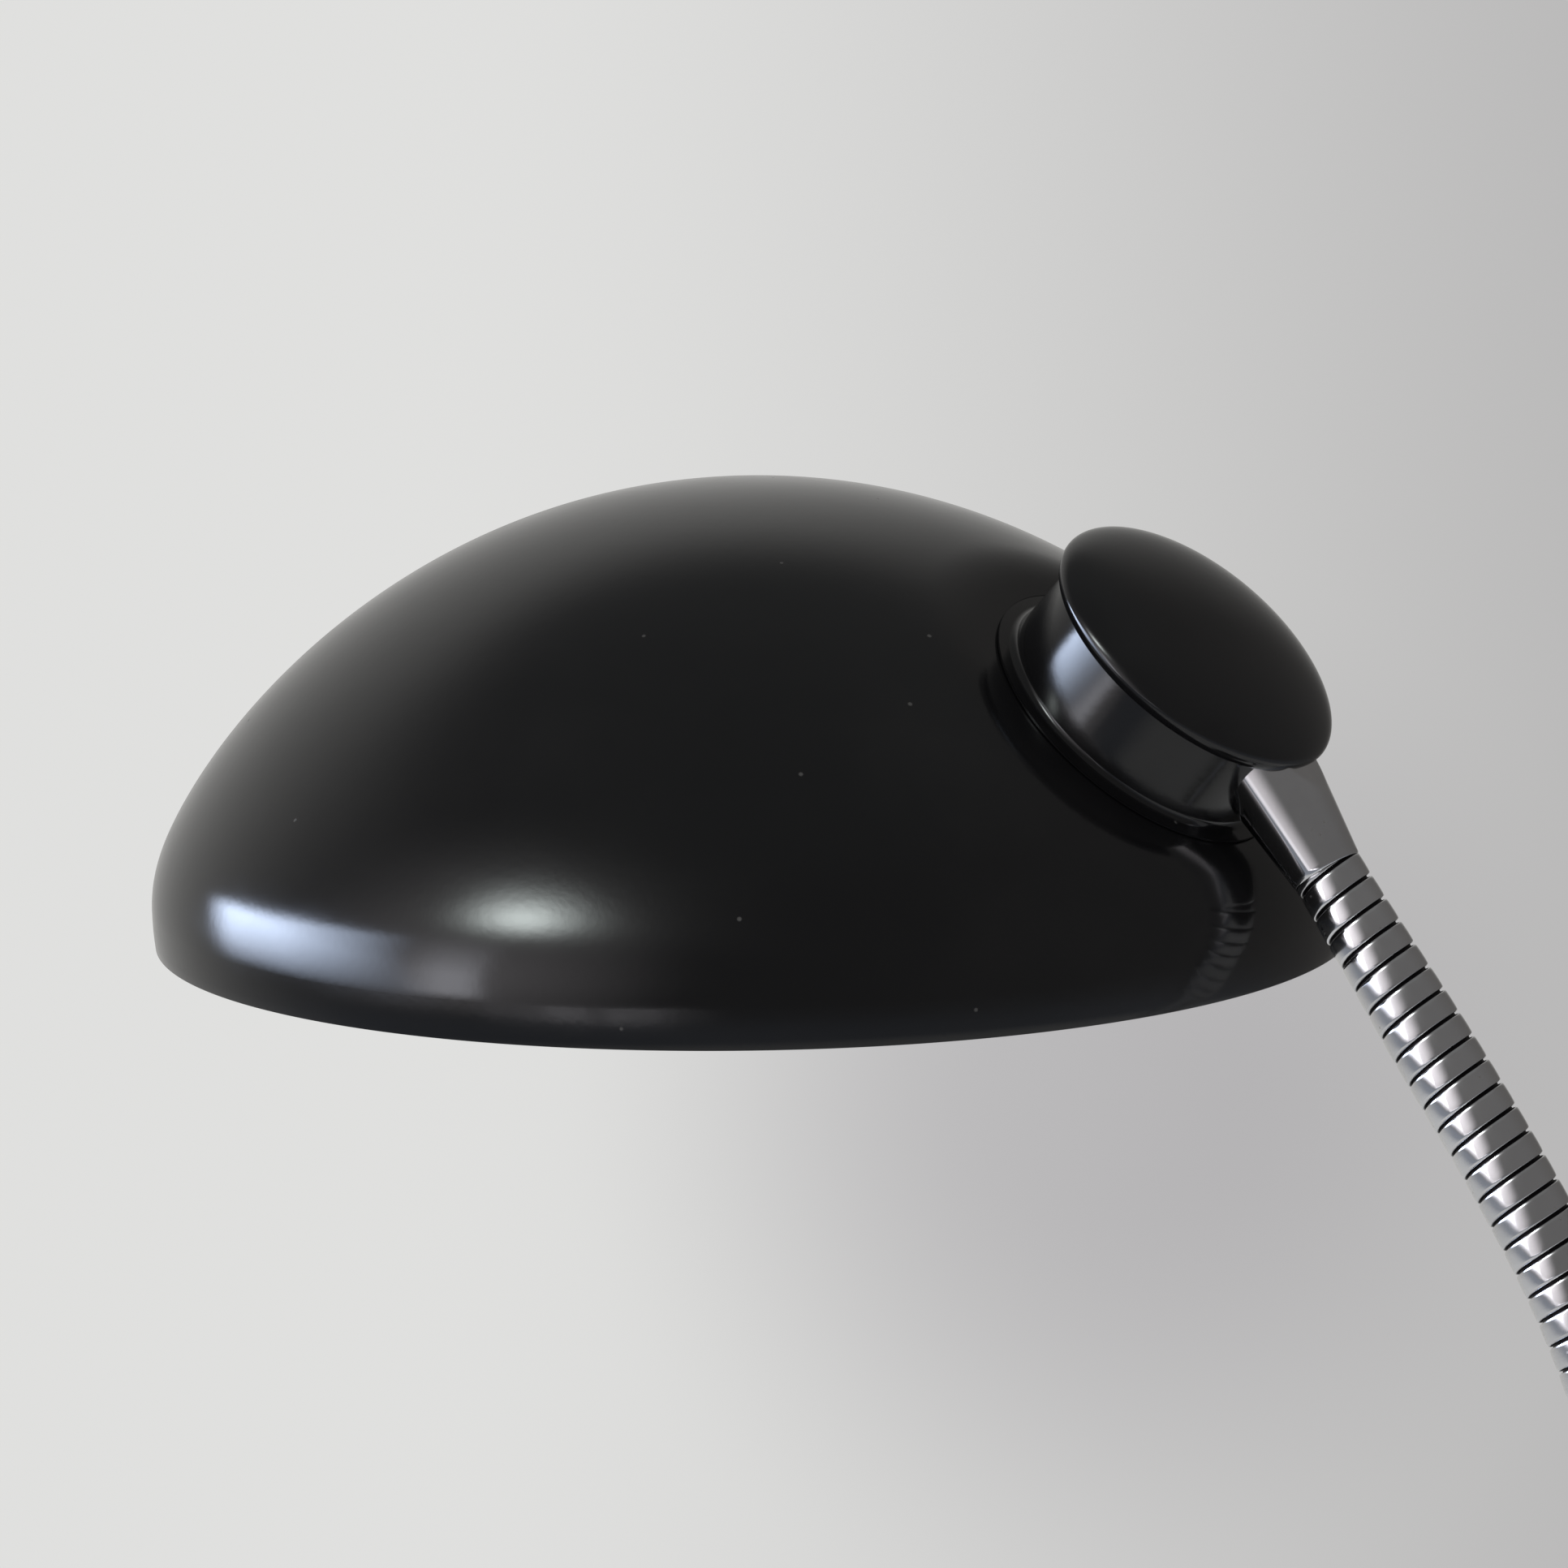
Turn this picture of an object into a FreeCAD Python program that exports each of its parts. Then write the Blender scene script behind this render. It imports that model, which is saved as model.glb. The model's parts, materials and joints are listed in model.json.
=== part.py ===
import FreeCAD, Part
import math
import os

# Desk lamp: a round weighted base, a ribbed gooseneck, a mushroom shaped joint
# housing and a domed shade that swivels on the housing.
# Millimetres, +Z up, origin at the middle of the base's underside. The head
# reaches towards -X and the lead leaves the base towards +X.

V = FreeCAD.Vector

# Shade, measured from its rim plane
shade_radius = 110.0
shade_height = 82.5
shade_waist = 7.0
shade_tuck = 0.45
shade_crown_foot = 10.5
shade_wall = 1.0
seat_inset = 29.0
seat_drop = 7.2

# Both domes share the bulge of their outline
side_exponent = 2.048
crown_exponent = 1.381
bend_share = 0.2
bend_fullness_share = 0.7
slope_share = 0.01
dome_steps = 14
crowding_exponent = 1.5

# Joint housing, measured along its axis from the widest circle of its cap
housing_tilt = 42.0
neck_room = 2.3
neck_flare = 1.4
neck_foot_edge = 0.6
neck_foot_land = 1.9
neck_spread = 0.3
neck_wall = 1.2
cap_overhang = 2.7
cap_crown = 8.0
cap_lip = 2.4
cap_wall = 1.5
cap_exponent = 1.85
cap_steps = 10
cap_overlap = 0.5
cap_fit = 0.1

# Lampholder and bulb
barrel_room = 3.3
barrel_wall = 2.3
barrel_length = 21.0
barrel_lip = 1.6
barrel_lip_depth = 2.0
shoulder_width = 3.0
shoulder_depth = 2.4
hood_height = 12.0
hood_inset = 1.1
hood_wall = 1.6
hood_eye_radius = 4.0
insert_depth = 3.0
insert_skirt = 4.0
insert_fit = 0.2
thread_shell_wall = 0.4
thread_shell_length = 19.0
contact_radius = 3.2
contact_depth = 0.8
bulb_thread_radius = 13.2
bulb_thread_length = 25.0
bulb_thread_wall = 0.5
bulb_thread_fit = 0.3
bulb_collar_fit = 0.1
bulb_tip_radius = 5.0
bulb_tip_depth = 3.5
bulb_radius = 22.5
bulb_length = 68.0
bulb_wall = 0.8
filament_radius = 0.3
filament_span = 7.0
filament_lead = 17.0

# Ring and washer that hold the shade
ring_width = 7.5
ring_depth = 5.0
washer_width = 6.0
washer_depth = 1.0
swivel_gap = 0.1
shade_hole_gap = 0.3
thread_fit = 0.1

# Gooseneck
arm_radius = 7.2
arm_bore_radius = 2.8
band_pitch = 4.7
bands_per_link = 4
groove_depth = 0.9
groove_width = 0.7
band_bevel = 0.25
joint_gap = 1.4
ball_radius = 5.0
ball_gap = 0.3
upright_links = 10
lean_shares = (0.13, 0.32, 0.56, 0.79, 0.93)
leaning_links = 3
arm_entry_angle = 12.5
arm_entry_stand = 1.8
arm_entry_drop = 0.8

# Ferrules at both ends of the gooseneck, and the threaded tubes in them
ferrule_length = 17.6
ferrule_foot_radius = 8.5
ferrule_tip_radius = 6.4
ferrule_edge = 0.4
nipple_radius = 5.0
nipple_bore_radius = 3.5
nipple_grip = 11.0
nipple_fit = 0.05
head_nut_flats = 13.0
head_nut_depth = 3.4
head_nut_gap = 0.975
head_nipple_stub = 0.8
saddle_fit = 0.05

# Base, measured from the table
base_radius = 90.0
base_foot_gap = 1.0
base_dome_height = 39.0
base_waist = 11.0
base_tuck = 0.3
base_crown_foot = 15.0
base_wall = 1.2
base_seat_drop = 0.4
felt_depth = 2.2
felt_inset = 4.0
plate_depth = 1.5
plate_fit = 0.4
weight_radius = 70.0
weight_height = 18.3
weight_boss_radius = 14.0
weight_edge = 2.0
counterbore_radius = 13.0
counterbore_depth = 9.3
base_washer_radius = 11.0
base_washer_depth = 1.5
base_nut_flats = 15.0
base_nut_depth = 5.0
base_nipple_stub = 0.5
screw_radius = 2.0
screw_head_radius = 3.6
screw_head_depth = 1.7
screw_length = 9.0
screw_circle_radius = 50.0
screw_count = 3
screw_fit = 0.1
felt_hole_gap = 0.9

# Passages for the wires in the base weight
wire_passage_radius = 3.5
wire_passage_reach = 21.0
wire_channel_depth = 5.5
lead_notch_width = 10.0
lead_notch_reach = 12.0
lead_notch_depth = 10.0

# Inlet bush for the mains lead
inlet_height = 9.7
bush_bore_radius = 3.6
bush_neck_radius = 4.7
bush_flange_radius = 5.4
bush_outer_depth = 3.0
bush_inner_depth = 2.0
bush_edge = 0.8
bush_fit = 0.05
bush_grip_gap = 0.35

# Push switch in the base
switch_reach = 50.0
switch_seat_drop = 0.35
switch_body_radius = 9.0
switch_body_depth = 16.0
switch_collar_radius = 6.0
switch_collar_height = 2.6
switch_hole_fit = 0.1
switch_pocket_gap = 1.5
switch_ring_radius = 8.6
switch_ring_depth = 2.0
switch_ring_edge = 0.5
button_radius = 4.0
button_gap = 0.2
button_height = 5.6
button_depth = 6.0
button_travel = 2.5
button_spare = 1.0
button_edge = 0.8

# Terminal block on the base weight
terminal_reach = 24.0
terminal_length = 22.0
terminal_width = 12.0
terminal_height = 9.0
terminal_hole_radius = 1.8
terminal_holes = 2

# Every cutter runs past what it cuts by this much
overrun = 1.0

# The head is built up from the bulb's thread outwards
thread_shell_radius = bulb_thread_radius + bulb_thread_fit + thread_shell_wall
barrel_radius = thread_shell_radius + barrel_room + barrel_wall
shoulder_radius = barrel_radius + shoulder_width
neck_radius = shoulder_radius + neck_room + neck_wall
neck_foot_radius = neck_radius + neck_spread + neck_flare + neck_foot_land
cap_radius = neck_radius + cap_overhang
ring_radius = barrel_radius + ring_width
washer_radius = barrel_radius + washer_width
bulb_collar_radius = bulb_thread_radius - bulb_thread_wall - bulb_collar_fit
arm_entry_reach = neck_radius + arm_entry_stand

# The neck is as long as the nut inside it, over the lampholder's shoulder, needs
entry_slope = math.radians(arm_entry_angle)
nut_corner_drop = head_nut_flats / math.sqrt(3) * math.cos(entry_slope)
nut_drop = arm_entry_drop + (neck_radius - neck_wall) * math.tan(entry_slope) + nut_corner_drop
neck_length = nut_drop + head_nut_gap + shoulder_depth + neck_wall

arm_lean = 90.0 - housing_tilt - arm_entry_angle
link_count = upright_links + len(lean_shares) + leaning_links
link_length = bands_per_link * band_pitch


# Outlines and simple solids

def revolved(edges):
    """Solid of a closed outline in the XZ plane turned about Z."""
    face = Part.Face(Part.Wire(edges))
    return Part.makeSolid(Part.Shell(face.revolve(V(), V(0, 0, 1), 360).Faces))


def turned(points):
    """Solid of straight edges through (radius, height) points turned about Z."""
    corners = [V(r, 0, z) for r, z in points]
    return revolved(Part.makePolygon(corners + corners[:1]).Edges)


def crown_stations(steps):
    """Steps from 0 to 1 that lie closer together where an outline turns upright."""
    return [(k / steps) ** crowding_exponent for k in range(steps + 1)]


def crown_edge(points):
    """Smooth edge through (radius, height) points up to the axis, where it is level.

    The points are mirrored past the axis, and the curve is kept as far as the axis.
    """
    mirrored = [(-r, z) for r, z in reversed(points[:-1])]
    curve = Part.BSplineCurve()
    curve.interpolate(Points=[V(r, 0, z) for r, z in points + mirrored])
    curve.segment(curve.FirstParameter, curve.parameter(V(0, 0, points[-1][1])))
    return curve.toShape()


def arc(a, b, c):
    """Round edge through three (radius, height) points."""
    return Part.Arc(V(a[0], 0, a[1]), V(b[0], 0, b[1]), V(c[0], 0, c[1])).toShape()


def line(a, b):
    """Straight edge between two (radius, height) points."""
    return Part.makeLine(V(a[0], 0, a[1]), V(b[0], 0, b[1]))


def tube(outer, inner, low, high):
    """Round tube about Z, or a rod if its bore is zero."""
    body = Part.makeCylinder(outer, high - low, V(0, 0, low))
    if inner == 0:
        return body
    return body.cut(Part.makeCylinder(inner, high - low + 2 * overrun, V(0, 0, low - overrun)))


def hexagon(flats, low, high):
    """Hexagonal prism about Z, with the given size across its flats."""
    corner = flats / math.sqrt(3)
    angles = [math.radians(60 * k) for k in range(6)]
    points = [V(corner * math.cos(a), corner * math.sin(a), low) for a in angles]
    return Part.Face(Part.makePolygon(points + points[:1])).extrude(V(0, 0, high - low))


def box_between(low, high):
    """Box between two corners."""
    return Part.makeBox(high.x - low.x, high.y - low.y, high.z - low.z, low)


def placed(shape, origin, rotation=None):
    """Copy of a shape, turned and then moved to an origin."""
    result = shape.copy()
    result.Placement = FreeCAD.Placement(origin, rotation or FreeCAD.Rotation())
    return result


def toward(direction):
    """Rotation that takes the Z axis to a direction in the XZ plane."""
    return FreeCAD.Rotation(V(0, 1, 0), math.degrees(math.atan2(direction.x, direction.z)))


# Domes

def dome_form(radius, height, waist, tuck, crown_foot, wall):
    """The sizes of one dome, which starts at its rim plane."""
    return {"radius": radius, "height": height, "waist": waist, "tuck": tuck,
            "crown_foot": crown_foot, "wall": wall}


def crown_point(form, t):
    """(radius, height) on a dome's crown, the part of its outline above the bend."""
    a = t * math.pi / 2
    r = form["radius"] * max(math.cos(a), 0) ** (2 / side_exponent)
    z = form["crown_foot"] + (form["height"] - form["crown_foot"]) * math.sin(a) ** (2 / crown_exponent)
    return r, z


def bend_point(form, u):
    """(radius, height) on the bend from the widest circle, where u is 0, to the crown, where it is 1.

    The bend is a cubic whose inner poles lie on the tangents at its ends, towards where they cross.
    """
    wide, low = form["radius"], form["waist"]
    r, z = crown_point(form, bend_share)
    r_before, z_before = crown_point(form, bend_share - slope_share)
    r_after, z_after = crown_point(form, bend_share + slope_share)
    crossing = z - (wide - r) * (z_after - z_before) / (r_before - r_after)
    radii = (wide, wide, r + bend_fullness_share * (wide - r), r)
    heights = (low, low + bend_fullness_share * (crossing - low),
               z + bend_fullness_share * (crossing - z), z)
    shares = ((1 - u) ** 3, 3 * u * (1 - u) ** 2, 3 * u * u * (1 - u), u ** 3)
    return (sum(a * b for a, b in zip(shares, radii)), sum(a * b for a, b in zip(shares, heights)))


def dome_point(form, t):
    """(radius, height) on a dome's outline: t is -1 at the rim, 0 at its widest, 1 at the top."""
    if t < 0:
        return form["radius"] - form["tuck"] * t * t, form["waist"] * (1 + t)
    if t < bend_share:
        return bend_point(form, t / bend_share)
    return crown_point(form, t)


def dome_slope(form, t):
    """Outward unit normal of a dome's outline, as (radial, vertical)."""
    if t == 0:
        return 1.0, 0.0
    if t > 1 - slope_share:
        return 0.0, 1.0
    r0, z0 = dome_point(form, max(t - slope_share, -1))
    r1, z1 = dome_point(form, t + slope_share)
    size = math.hypot(r1 - r0, z1 - z0)
    return (z1 - z0) / size, (r0 - r1) / size


def dome_points(form, inset, stations):
    """Points of a dome's outline, moved inwards along its normals."""
    points = []
    for t in stations:
        r, z = dome_point(form, t)
        nr, nz = dome_slope(form, t)
        points.append((r - inset * nr, z - inset * nz))
    return points


def dome_solid(form, inset):
    """Solid under a dome, moved inwards by inset and run past the rim where it is a cutter."""
    skirt = dome_points(form, inset, [-1, -0.5, 0])
    crown = dome_points(form, inset, crown_stations(dome_steps))
    crown[-1] = (0, form["height"] - inset)
    low = -overrun if inset else 0
    rim = (skirt[0][0], low)
    edges = [line((0, low), rim)]
    if inset:
        edges.append(line(rim, skirt[0]))
    return revolved(edges + [arc(*skirt), crown_edge(crown), line(crown[-1], (0, low))])


def dome_station(form, reach):
    """Place on a dome's outline at a distance from its axis, found by halving."""
    low, high = 0.0, 1.0
    for _ in range(60):
        middle = (low + high) / 2
        if dome_point(form, middle)[0] > reach:
            low = middle
        else:
            high = middle
    return low


def above_plane(form, centre, direction):
    """Block that holds all of a dome above a plane."""
    size = 4 * form["radius"]
    block = Part.makeBox(size, size, size, V(-size / 2, -size / 2, 0))
    return placed(block, centre, toward(direction))


def dome_shell(form, seats):
    """Thin dome with a flat pressed into it at each seat, given as (centre, direction)."""
    outer = dome_solid(form, 0)
    inner = dome_solid(form, form["wall"])
    for centre, direction in seats:
        outer = outer.cut(above_plane(form, centre, direction))
        inner = inner.cut(above_plane(form, centre - direction * form["wall"], direction))
    return outer.cut(inner)


# Gooseneck

def arm_direction(lean):
    """Direction of a gooseneck link that leans from the vertical towards -X."""
    return V(-math.sin(math.radians(lean)), 0, math.cos(math.radians(lean)))


def link_lean(number):
    """Lean of one link in degrees; links are counted from 1 at the base."""
    shares = (0,) * upright_links + lean_shares + (1,) * leaning_links
    return arm_lean * shares[number - 1]


def arm_junctions(start):
    """Points where the links meet, from the base ferrule to the head ferrule."""
    points = [start]
    for number in range(1, link_count + 1):
        points.append(points[-1] + arm_direction(link_lean(number)) * link_length)
    return points


def ribbed_rod(first_gap, last_gap):
    """Bands and grooves of one link along +X, as a ruled loft through four circles a band."""
    groove_radius = arm_radius - groove_depth
    circles = []
    for band in range(bands_per_link):
        low = band * band_pitch + (groove_width / 2 if band else first_gap)
        last = band == bands_per_link - 1
        high = (band + 1) * band_pitch - (last_gap if last else groove_width / 2)
        sections = ((low, groove_radius), (low + band_bevel, arm_radius),
                    (high - band_bevel, arm_radius), (high, groove_radius))
        for x, radius in sections:
            circles.append(Part.Wire(Part.makeCircle(radius, V(x, 0, 0), V(1, 0, 0))))
    return Part.makeLoft(circles, True, True)


def link(number):
    """One link along +X: a socket below, except at the base, and a ball above, except at the head."""
    has_socket = number > 1
    has_ball = number < link_count
    body = ribbed_rod(joint_gap / 2 if has_socket else 0, joint_gap / 2 if has_ball else 0)
    if has_ball:
        body = body.fuse(Part.makeSphere(ball_radius, V(link_length, 0, 0)))
    if has_socket:
        body = body.cut(Part.makeSphere(ball_radius + ball_gap))
    reach = link_length + ball_radius + 2 * overrun
    bore = Part.makeCylinder(arm_bore_radius, reach, V(-overrun, 0, 0), V(1, 0, 0))
    return body.cut(bore).removeSplitter()


def gooseneck_links(junctions):
    """All the links, each in its place."""
    links = {}
    for number in range(1, link_count + 1):
        turn = FreeCAD.Rotation(V(0, 1, 0), -90 - link_lean(number))
        links[f"gooseneck_link_{number:02d}"] = placed(link(number), junctions[number - 1], turn)
    return links


def ferrule(foot):
    """Tapered ferrule on Z, its tip at zero and its foot below, bored for a threaded tube."""
    low = -ferrule_length
    taper = (ferrule_foot_radius - ferrule_tip_radius) / ferrule_length
    foot_radius = ferrule_foot_radius + taper * (low - foot)
    body = turned([(0, foot), (foot_radius, foot),
                   (ferrule_tip_radius + taper * ferrule_edge, -ferrule_edge),
                   (ferrule_tip_radius - ferrule_edge, 0), (0, 0)])
    grip = tube(nipple_radius + nipple_fit, 0, foot - overrun, low + nipple_grip)
    return body.cut(grip).cut(tube(arm_bore_radius, 0, foot, overrun))


# Base

def base_parts():
    """Everything that stands still with the base, apart from the switch."""
    parts = {}
    form = dome_form(base_radius, base_dome_height, base_waist, base_tuck, base_crown_foot, base_wall)
    top_seat = base_dome_height - base_seat_drop
    t = dome_station(form, switch_reach)
    r, z = dome_point(form, t)
    nr, nz = dome_slope(form, t)
    switch_axis = V(-nr, 0, nz)
    switch_seat = V(-r, 0, z) - switch_axis * switch_seat_drop
    shell = dome_shell(form, [(V(0, 0, top_seat), V(0, 0, 1)), (switch_seat, switch_axis)])
    shell = shell.cut(tube(nipple_radius + nipple_fit, 0, top_seat - base_waist, top_seat + overrun))
    switch_hole = tube(switch_collar_radius + switch_hole_fit, 0, -base_wall - overrun, overrun)
    shell = shell.cut(placed(switch_hole, switch_seat, toward(switch_axis)))
    lifted = V(0, 0, base_foot_gap)
    inlet = tube(bush_neck_radius + bush_fit, 0, base_radius - bush_flange_radius, base_radius + overrun)
    inlet = placed(inlet, V(0, 0, inlet_height) - lifted, toward(V(1, 0, 0)))
    parts["base_shell"] = placed(shell.cut(inlet), lifted)

    switch_place = FreeCAD.Placement(switch_seat + lifted, toward(switch_axis))
    parts.update(base_stack(base_foot_gap + top_seat, switch_place))
    parts["cable_bush"] = cable_bush()
    parts.update(switch_parts(switch_place))
    return parts, base_foot_gap + top_seat


def screw_places():
    """Middles of the plate's screws, the first at the back."""
    angles = [2 * math.pi * k / screw_count for k in range(screw_count)]
    return [V(screw_circle_radius * math.cos(a), screw_circle_radius * math.sin(a), 0) for a in angles]


def base_stack(top, switch_place):
    """Felt, plate, screws, weight, and the ferrule with the tube and nut that clamp them."""
    parts = {}
    plate_top = felt_depth + plate_depth
    weight_top = plate_top + weight_height
    plate_radius = base_radius - base_tuck - base_wall - plate_fit
    felt = tube(plate_radius - felt_inset, 0, 0, felt_depth)
    plate = tube(plate_radius, 0, felt_depth, plate_top)
    boss_top = top - base_wall
    weight = turned([(0, plate_top), (weight_radius, plate_top), (weight_radius, weight_top - weight_edge),
                     (weight_radius - weight_edge, weight_top), (weight_boss_radius, weight_top),
                     (weight_boss_radius, boss_top), (0, boss_top)])
    counterbore_top = plate_top + counterbore_depth
    weight = weight.cut(tube(counterbore_radius, 0, plate_top - overrun, counterbore_top))
    weight = weight.cut(tube(nipple_radius + nipple_fit, 0, plate_top, boss_top + overrun))
    weight = weight.cut(switch_pocket(switch_place))
    weight = weight.cut(wire_passages(plate_top, weight_top))
    screws = []
    head_low = felt_depth - screw_head_depth
    shank_top = plate_top + screw_length
    head_hole = tube(screw_head_radius + felt_hole_gap, 0, -overrun, felt_depth + overrun)
    plate_hole = tube(screw_radius + screw_fit, 0, 0, plate_top + overrun)
    weight_hole = tube(screw_radius + screw_fit, 0, 0, shank_top + overrun)
    for place in screw_places():
        felt = felt.cut(placed(head_hole, place))
        plate = plate.cut(placed(plate_hole, place))
        weight = weight.cut(placed(weight_hole, place))
        head = tube(screw_head_radius, 0, head_low, felt_depth)
        shank = tube(screw_radius, 0, head_low, shank_top)
        screws.append(placed(head.fuse(shank).removeSplitter(), place))
    parts["base_felt"] = felt
    parts["base_plate"] = plate
    parts["base_weight"] = weight
    parts["base_plate_screws"] = Part.makeCompound(screws)

    washer_low = counterbore_top - base_washer_depth
    nut_low = washer_low - base_nut_depth
    thread_hole = nipple_radius + nipple_fit
    parts["base_washer"] = tube(base_washer_radius, thread_hole, washer_low, counterbore_top)
    nut = hexagon(base_nut_flats, nut_low, washer_low)
    parts["base_nut"] = nut.cut(tube(thread_hole, 0, nut_low - overrun, washer_low + overrun))
    nipple_top = top + nipple_grip
    parts["base_nipple"] = tube(nipple_radius, nipple_bore_radius, nut_low - base_nipple_stub, nipple_top)
    parts["base_ferrule"] = placed(ferrule(-ferrule_length), V(0, 0, top + ferrule_length))
    low = V(terminal_reach, -terminal_width / 2, weight_top)
    parts["terminal_block"] = terminal_block(low)
    return parts


def terminal_block(low):
    """Two-pole terminal block, its wire holes along X."""
    block = box_between(low, low + V(terminal_length, terminal_width, terminal_height))
    spacing = terminal_width / terminal_holes
    hole = tube(terminal_hole_radius, 0, -overrun, terminal_length + overrun)
    for k in range(terminal_holes):
        start = low + V(0, spacing * (k + 0.5), terminal_height / 2)
        block = block.cut(placed(hole, start, toward(V(1, 0, 0))))
    return block


def wire_passages(plate_top, weight_top):
    """Cutter for the wires' way through the weight and for the lead's way over its edge."""
    drop = placed(tube(wire_passage_radius, 0, plate_top - overrun, weight_top + overrun),
                  V(0, wire_passage_reach, 0))
    channel = box_between(V(-wire_passage_radius, 0, plate_top - overrun),
                          V(wire_passage_radius, wire_passage_reach, plate_top + wire_channel_depth))
    half_width = lead_notch_width / 2
    notch = box_between(V(weight_radius - lead_notch_reach, -half_width, weight_top - lead_notch_depth),
                        V(weight_radius + overrun, half_width, weight_top + overrun))
    return drop.fuse(channel).fuse(notch)


def cable_bush():
    """Rubber bush that grips the edge of the inlet hole, turned about the hole's axis."""
    wall_low = base_radius - base_wall - bush_grip_gap
    wall_high = base_radius + bush_fit
    low = wall_low - bush_inner_depth
    high = wall_high + bush_outer_depth
    bush = turned([(bush_bore_radius, low), (bush_flange_radius - bush_edge, low),
                   (bush_flange_radius, low + bush_edge), (bush_flange_radius, wall_low),
                   (bush_neck_radius, wall_low), (bush_neck_radius, wall_high),
                   (bush_flange_radius, wall_high), (bush_flange_radius, high - bush_edge),
                   (bush_flange_radius - bush_edge, high), (bush_bore_radius, high)])
    return placed(bush, V(0, 0, inlet_height), toward(V(1, 0, 0)))


# Switch, built about Z with the outside of its seat at zero

def switch_pocket(place):
    """Cutter that keeps the base weight clear of the switch."""
    radius = switch_body_radius + switch_pocket_gap
    low = -base_wall - switch_body_depth - switch_pocket_gap
    pocket = tube(radius, 0, low, 0)
    pocket.Placement = place
    return pocket


def switch_parts(place):
    """Body with its threaded collar, ring nut, and the button that slides in the collar."""
    body = tube(switch_body_radius, 0, -base_wall - switch_body_depth, -base_wall)
    body = body.fuse(tube(switch_collar_radius, 0, -base_wall - overrun, switch_collar_height))
    bore_low = -button_depth - button_travel - button_spare
    body = body.cut(tube(button_radius + button_gap, 0, bore_low, switch_collar_height + overrun))
    hole = switch_collar_radius + switch_hole_fit
    ring = turned([(hole, 0), (switch_ring_radius, 0),
                   (switch_ring_radius, switch_ring_depth - switch_ring_edge),
                   (switch_ring_radius - switch_ring_edge, switch_ring_depth), (hole, switch_ring_depth)])
    button = turned([(0, -button_depth), (button_radius, -button_depth),
                     (button_radius, button_height - button_edge),
                     (button_radius - button_edge, button_height), (0, button_height)])
    parts = {"switch_body": body.removeSplitter(), "switch_ring": ring, "switch_button": button}
    for shape in parts.values():
        shape.Placement = place
    return parts


# Head, built about Z with the widest circle of the cap at zero and +X towards the arm

def cap_outline(radius, crown, low):
    """Points of the cap's crown, from its widest circle to its top."""
    points = []
    for t in crown_stations(cap_steps):
        a = t * math.pi / 2
        share = 2 / cap_exponent
        points.append((radius * max(math.cos(a), 0) ** share, low + crown * math.sin(a) ** share))
    points[-1] = (0, low + crown)
    return points


def crown_solid(radius, crown, low, bottom):
    """Solid under a cap's crown, with straight sides down to its bottom."""
    points = cap_outline(radius, crown, low)
    edges = [line((0, bottom), (radius, bottom)), line((radius, bottom), points[0])]
    return revolved(edges + [crown_edge(points), line(points[-1], (0, bottom))])


def housing_cap():
    """Mushroom cap with a rounded lip, hollow, pushed over the top of the neck."""
    points = cap_outline(cap_radius, cap_crown, 0)
    lip_radius = cap_radius - cap_lip
    bend = math.sqrt(0.5)
    lip = arc((lip_radius, -cap_lip), (lip_radius + cap_lip * bend, -cap_lip * bend), (cap_radius, 0))
    body = revolved([line((0, -cap_lip), (lip_radius, -cap_lip)), lip,
                     crown_edge(points), line(points[-1], (0, -cap_lip))])
    hollow_radius = neck_radius + cap_fit
    hollow = crown_solid(hollow_radius, cap_crown - cap_wall - cap_overlap, cap_overlap, -cap_lip - overrun)
    return body.cut(hollow).cut(entry_hole(neck_radius - neck_wall, cap_radius + overrun))


def neck_outline(grow):
    """Outer outline of the neck from its foot to its top, moved outwards by grow."""
    foot = -neck_length
    lower_radius = neck_radius + neck_spread
    flare_low = foot + neck_foot_edge
    bend = math.sqrt(0.5)
    centre_r = lower_radius + neck_flare
    centre_z = flare_low + neck_flare
    hollow = arc((centre_r + grow, flare_low),
                 (centre_r - neck_flare * bend + grow, centre_z - neck_flare * bend),
                 (lower_radius + grow, centre_z))
    outer = neck_foot_radius + grow
    return [line((outer, foot), (outer, flare_low)), line((outer, flare_low), (centre_r + grow, flare_low)),
            hollow, line((lower_radius + grow, centre_z), (neck_radius + grow, cap_overlap))]


def neck_envelope(grow):
    """Filled shape of the neck, a little larger for a fit."""
    edges = neck_outline(grow)
    start = (neck_foot_radius + grow, -neck_length)
    end = (neck_radius + grow, cap_overlap)
    closing = [line(end, (0, end[1])), line((0, end[1]), (0, start[1]))]
    return revolved([line((0, start[1]), start)] + edges + closing)


def neck_hollow():
    """Filled shape of the room inside the neck, above its bottom flange."""
    low = -neck_length + neck_wall
    lower = neck_radius + neck_spread - neck_wall
    upper = neck_radius - neck_wall
    return turned([(0, low), (lower, low), (upper, cap_overlap + overrun), (0, cap_overlap + overrun)])


def entry_direction():
    """Direction in which the arm leaves the head."""
    return V(math.cos(entry_slope), 0, -math.sin(entry_slope))


def entry_hole(low, high):
    """Round hole for the threaded tube, on the arm's way out of the head."""
    hole = tube(nipple_radius + nipple_fit, 0, low, high)
    return placed(hole, V(0, 0, -arm_entry_drop), toward(entry_direction()))


def housing_neck():
    """Collar between cap and shade, its bottom flange bored for the lampholder."""
    body = neck_envelope(0).cut(neck_hollow())
    body = body.cut(tube(barrel_radius + thread_fit, 0, -neck_length - overrun, 0))
    return body.cut(entry_hole(0, neck_foot_radius + overrun))


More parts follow.
